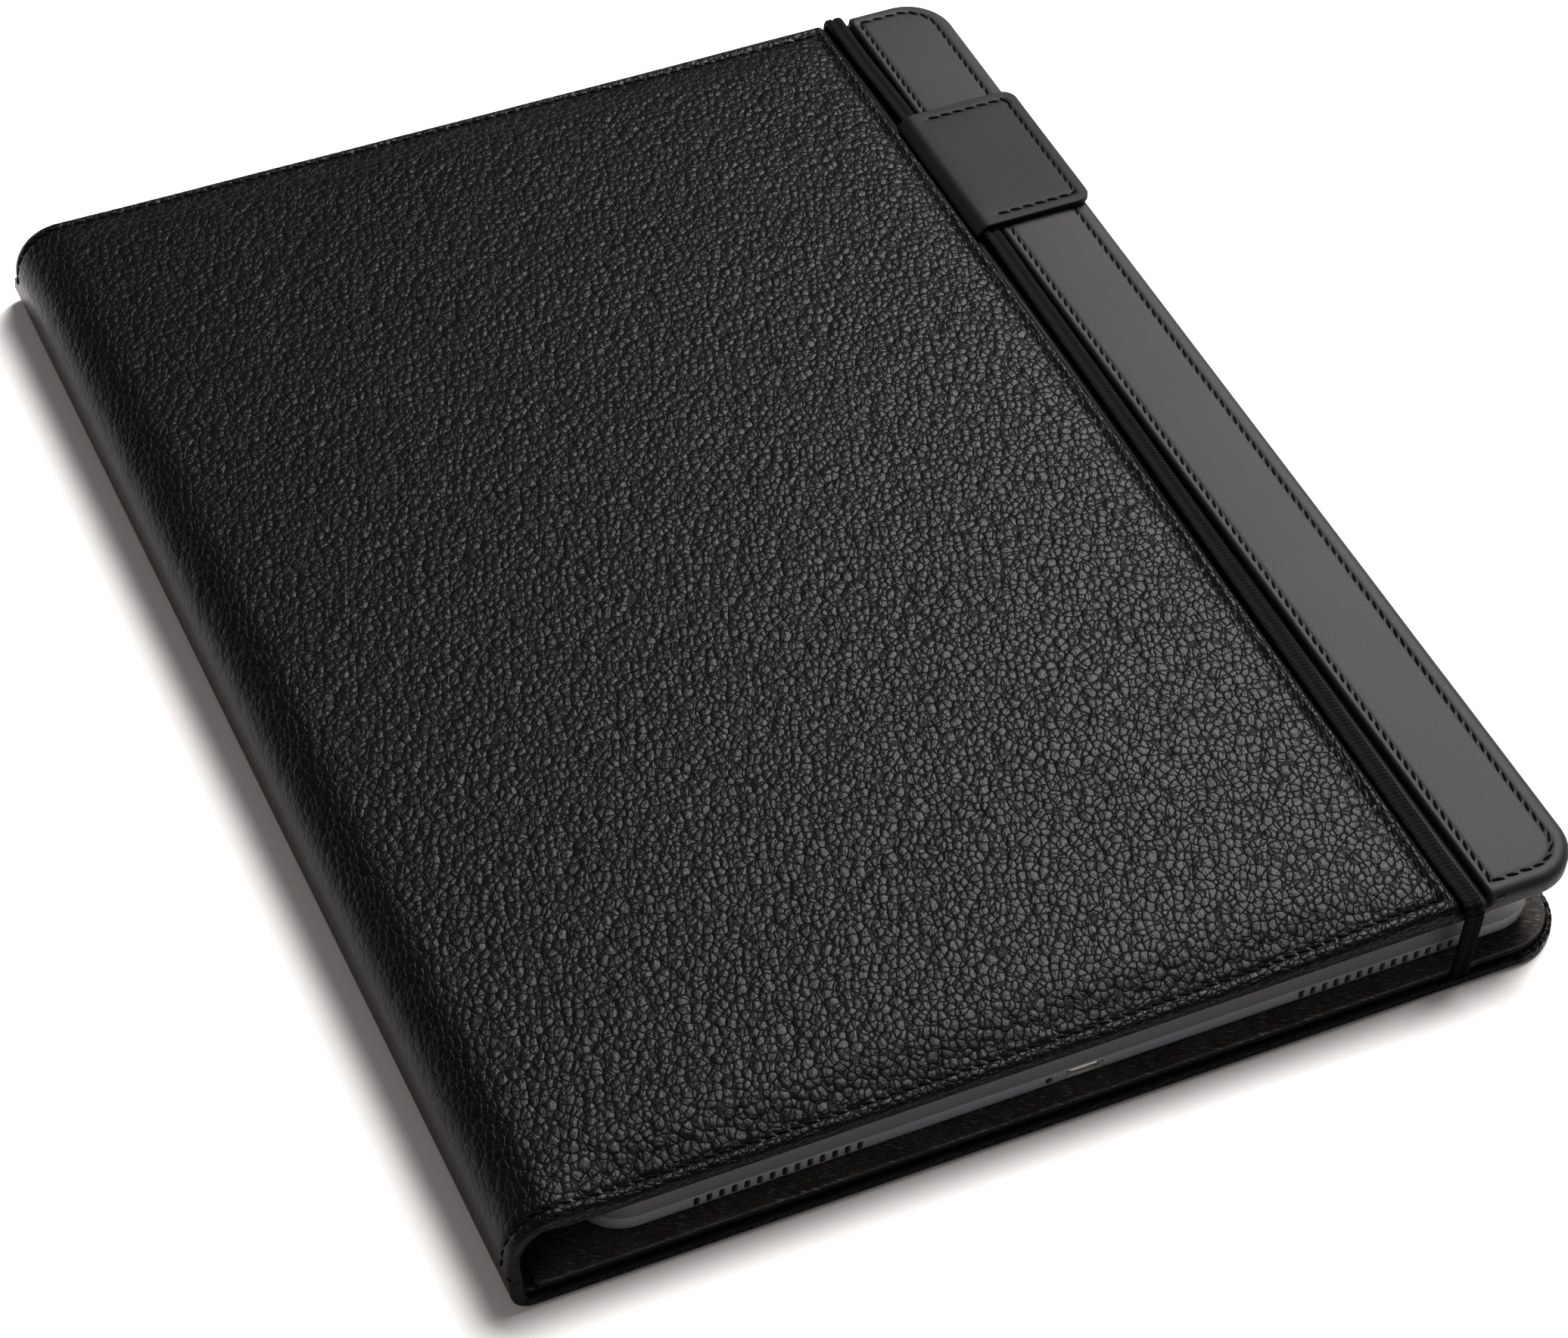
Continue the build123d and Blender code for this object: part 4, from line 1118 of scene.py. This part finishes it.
def tab_path(flap_high, layer):
    """Under the flap to the strap, round it, up over a crest and back along the flap's top."""
    flap_low = flap_high - 2 * layer
    under_z = run_low.z - 0.85 * MM
    bend_low, bend_left, crest_r = 1.2 * MM, 0.9 * MM, 1.6 * MM
    slope_low, slope_up = math.radians(40), math.radians(47)
    left_x = run_low.x - 0.5 * MM

    path = Path(tab_high.x, flap_low, 180, 1)
    drop = flap_low - under_z
    sloped = (drop - 2 * bend_low * (1 - math.cos(slope_low))) / math.sin(slope_low)
    loop_right = run_high.x - 1.0 * MM
    level = tab_high.x - loop_right - 2 * bend_low * math.sin(slope_low) - sloped * math.cos(slope_low)
    path.ahead(level).bend(bend_low, math.degrees(slope_low)).ahead(sloped)
    path.bend(bend_low, -math.degrees(slope_low)).ahead(loop_right - left_x - bend_left)
    path.bend(bend_left, math.degrees(slope_up) - 180)
    climb = flap_high - crest_r * (1 - math.cos(slope_up)) - path.points[-1][1]
    path.ahead(climb / math.sin(slope_up)).bend(crest_r, -math.degrees(slope_up))
    crest_x = path.points[-1][0]
    return path.ahead(tab_high.x - crest_x), crest_x


def pull_tab():
    """One strip of leather folded round the strap, both layers sewn together past it."""
    layer = 0.7 * MM
    flap_high = COVER_TOP + 1.55 * MM
    path, crest_x = tab_path(flap_high, layer)
    edge = [(0.3 * MM, 0.0), (0.1 * MM, 0.12), (0.0, 0.45), (0.02 * MM, 0.75), (0.12 * MM, 1.0)]
    middle = (tab_low.y + tab_high.y) / 2
    half = (tab_high.y - tab_low.y) / 2
    seam = 2.6 * MM
    start_x = crest_x + 3 * MM
    end_x = tab_high.x - seam
    top_start = path.length - (tab_high.x - crest_x)
    row_y = half - seam
    turn_r = 1.2 * MM

    def relief(u, v):
        on_top = smoothstep(u, top_start, top_start + 2 * MM)
        side = row_y - np.abs(v)
        front = (path.length - seam) - u
        sewn = smoothstep(u, top_start + 1.5 * MM, top_start + 3 * MM)
        by_v = 0.8 + 0.4 * pucker(v, turn_r - row_y, row_y - turn_r)
        pressed = np.where(front > -0.3 * MM, channel(side, 0.20 * MM), 0) * sewn
        pressed = pressed + np.where(side > -0.3 * MM, channel(front, 0.20 * MM) * by_v, 0)
        crown = 0.08 * MM * smoothstep(np.minimum(side, front), 0.0, 5 * MM)
        return (pressed + crown) * on_top + undulation(u, v, 12 * MM, 0.06 * MM, 9.0)

    seams = (beside(path.length - seam), [*halves(turn_r - row_y, row_y - turn_r), *beside(-row_y, row_y)])
    piece = skin("pull_tab", path, half, 3 * MM, edge, LOOKS["tab_leather"], relief, layer,
                 flat_step=0.7 * MM, row_step=1.0, rolled=("start", "end"), closed=True,
                 flat_from=200 * MM, seams=seams, corner_steps=12)
    piece.data.transform(Matrix.Translation((0, middle, 0)))
    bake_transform(piece)
    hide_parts("pull_tab_leather")

    top = flap_high - SEAM_SINK
    rows = row_along_y(end_x, middle + turn_r - row_y, middle + row_y - turn_r, top)
    for side in (-1, 1):
        rows += row_along_x(start_x, end_x - turn_r, middle + side * row_y, top)
        rows += row_round_corner(end_x - turn_r, middle + side * (row_y - turn_r), turn_r, side, top)
    seam_piece = threads("pull_tab_seam", rows)
    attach(seam_piece, "pull_tab")
    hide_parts("pull_tab_stitches")


# ---------------------------------------------------------------- the sprung hook's spring
def spring():
    """The coil behind the upper hook, at one fixed length, though the real one shortens as the hook slides
    back.
    """
    low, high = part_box("hook_spring")
    wire = 0.2 * MM
    turns, steps, sides = 8, 20, 8
    radius = (high.x - low.x) / 2 - wire
    middle = (low + high) / 2
    length = high.y - low.y - 2 * wire
    points = []
    rings = turns * steps + 1
    for k in range(rings):
        a = 2 * math.pi * k / steps
        out = Vector((math.cos(a), 0, math.sin(a)))
        centre = Vector((middle.x, low.y + wire + length * k / (rings - 1), middle.z)) + out * radius
        for side in range(sides):
            b = 2 * math.pi * side / sides
            points.append(centre + out * (wire * math.cos(b)) + Vector((0, wire * math.sin(b), 0)))
    faces = tube_faces(0, rings, sides) + end_faces(rings, sides)
    piece = mesh_object("hook_coil", points, faces, LOOKS["steel"])
    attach(piece, "back_cover")
    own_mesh(piece)
    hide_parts("hook_spring")


def sleeve_loop(inset, y):
    """An outline of the socket's opening with round corners, inset by a distance."""
    corner, steps = 0.6 * MM, 6
    middle_z = sum(SOCKET_Z) / 2
    points = []
    for side_x, side_z, start in ((1, 1, 0), (-1, 1, 90), (-1, -1, 180), (1, -1, 270)):
        for step in range(steps + 1):
            a = math.radians(start + 90 * step / steps)
            points.append((side_x * (SOCKET_HALF - corner) + (corner - inset) * math.cos(a), y,
                           middle_z + side_z * (SOCKET_Z[1] - middle_z - corner)
                           + (corner - inset) * math.sin(a)))
    return points


def socket_mouth():
    """The nickel sleeve that lines the socket's opening, and the tongue reaching into it."""
    face_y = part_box("reader_back_shell")[0].y
    socket_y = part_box("charging_socket")[0].y
    front_y = face_y + 0.1 * MM
    outer, inner = 0.02 * MM, 0.27 * MM
    loops = [sleeve_loop(outer, socket_y), sleeve_loop(outer, front_y),
             sleeve_loop(inner, front_y), sleeve_loop(inner, socket_y)]
    count = len(loops[0])
    numbers = np.arange(len(loops) * count).reshape(len(loops), count)
    faces = np.concatenate([strip_faces(numbers[row], numbers[(row + 1) % len(loops)], True)
                            for row in range(len(loops))])
    sleeve = mesh_object("socket_sleeve", [p for loop in loops for p in loop], faces, LOOKS["nickel"], False)

    tip, cut, (low_z, high_z) = face_y + 0.25 * MM, 0.2 * MM, TONGUE_Z
    outline = [(tip, low_z + cut), (tip + cut, low_z), (socket_y, low_z),
               (socket_y, high_z), (tip + cut, high_z), (tip, high_z - cut)]
    ends = [(-TONGUE_HALF, cut), (cut - TONGUE_HALF, 0.0), (TONGUE_HALF - cut, 0.0), (TONGUE_HALF, cut)]
    points = [(x, max(y, tip + back), z) for x, back in ends for y, z in outline]
    size = len(ends), len(outline)
    tongue = mesh_object("socket_tongue", points, tube_faces(0, *size) + end_faces(*size),
                         LOOKS["tongue"], False)
    for piece in (sleeve, tongue):
        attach(piece, "reader")


# ---------------------------------------------------------------- CAD nodes that stay
def dress_cad_nodes():
    """Gives each CAD node the material of its slot, and the socket a brighter plating."""
    for row in frame["record"]["subparts"]:
        node = frame["nodes"][row["node"]]
        node.data.materials.clear()
        look = "nickel" if row["node"] == "charging_socket" else row["material_slot"]
        node.data.materials.append(LOOKS[look])


# ---------------------------------------------------------------- camera, lights, floor
CAMERA_AZIMUTH = 25.6
CAMERA_ELEVATION = 45.9
CAMERA_ROLL = 2.04
CAMERA_DISTANCE = 0.805
CAMERA_TARGET = Vector((-0.0102, -0.0284, 0.010))
CAMERA_LENS = 100.2


def camera():
    """Looks down on the case from the reader's socket side."""
    data = bpy.data.cameras.new("camera")
    made = bpy.data.objects.new("camera", data)
    bpy.context.scene.collection.objects.link(made)
    data.sensor_width = 36.0
    data.lens = CAMERA_LENS
    a, e = math.radians(CAMERA_AZIMUTH), math.radians(CAMERA_ELEVATION)
    back = Vector((-math.sin(a) * math.cos(e), -math.cos(a) * math.cos(e), math.sin(e)))
    made.location = CAMERA_TARGET + back * CAMERA_DISTANCE
    made.rotation_mode = "QUATERNION"
    aim = (-back).to_track_quat("-Z", "Y")
    made.rotation_quaternion = aim @ Quaternion((0, 0, 1), math.radians(CAMERA_ROLL))
    bpy.context.scene.camera = made


def softbox(name, position, aim, size, power, colour=(1, 1, 1)):
    """A square light at a position, facing aim."""
    data = bpy.data.lights.new(name, "AREA")
    data.shape = "SQUARE"
    data.size = size
    data.energy = power
    data.color = colour
    made = bpy.data.objects.new(name, data)
    bpy.context.scene.collection.objects.link(made)
    made.location = position
    made.rotation_mode = "QUATERNION"
    made.rotation_quaternion = (Vector(aim) - Vector(position)).to_track_quat("-Z", "Y")


def stage():
    """A pale floor, a dim world and three soft lights."""
    size = 6.0
    s = Shader("floor", Base_Color=(0.90, 0.870, 0.858, 1), Roughness=0.9, Specular_IOR_Level=0.1)
    floor = mesh_object("floor", [(-size, -size, 0), (size, -size, 0), (size, size, 0), (-size, size, 0)],
                        [(0, 1, 2, 3)], s.material, smooth=False)
    floor.location.z = -0.0004
    world = bpy.data.worlds.new("studio")
    bpy.context.scene.world = world
    world.use_nodes = True
    background = world.node_tree.nodes["Background"]
    background.inputs["Color"].default_value = (1, 0.99, 0.985, 1)
    background.inputs["Strength"].default_value = 0.10
    softbox("key", (0.66, 0.42, 1.28), (0, 0, 0), size=0.8, power=46)
    softbox("sheen", (0.44, 0.38, 0.50), (0.02, 0, 0), size=0.26, power=7.2)
    softbox("fill", (-1.15, -0.55, 0.90), (0, 0, 0), size=0.9, power=3.4, colour=(1.0, 0.93, 0.90))
    bpy.context.scene.view_settings.view_transform = "Standard"
    bpy.context.scene.view_settings.look = "None"


camera()
stage()
dress_cad_nodes()
hide_path = front_hide()
front_band()
padding()
back_hide()
linings()
stitches(hide_path)
strap()
pull_tab()
spring()
socket_mouth()
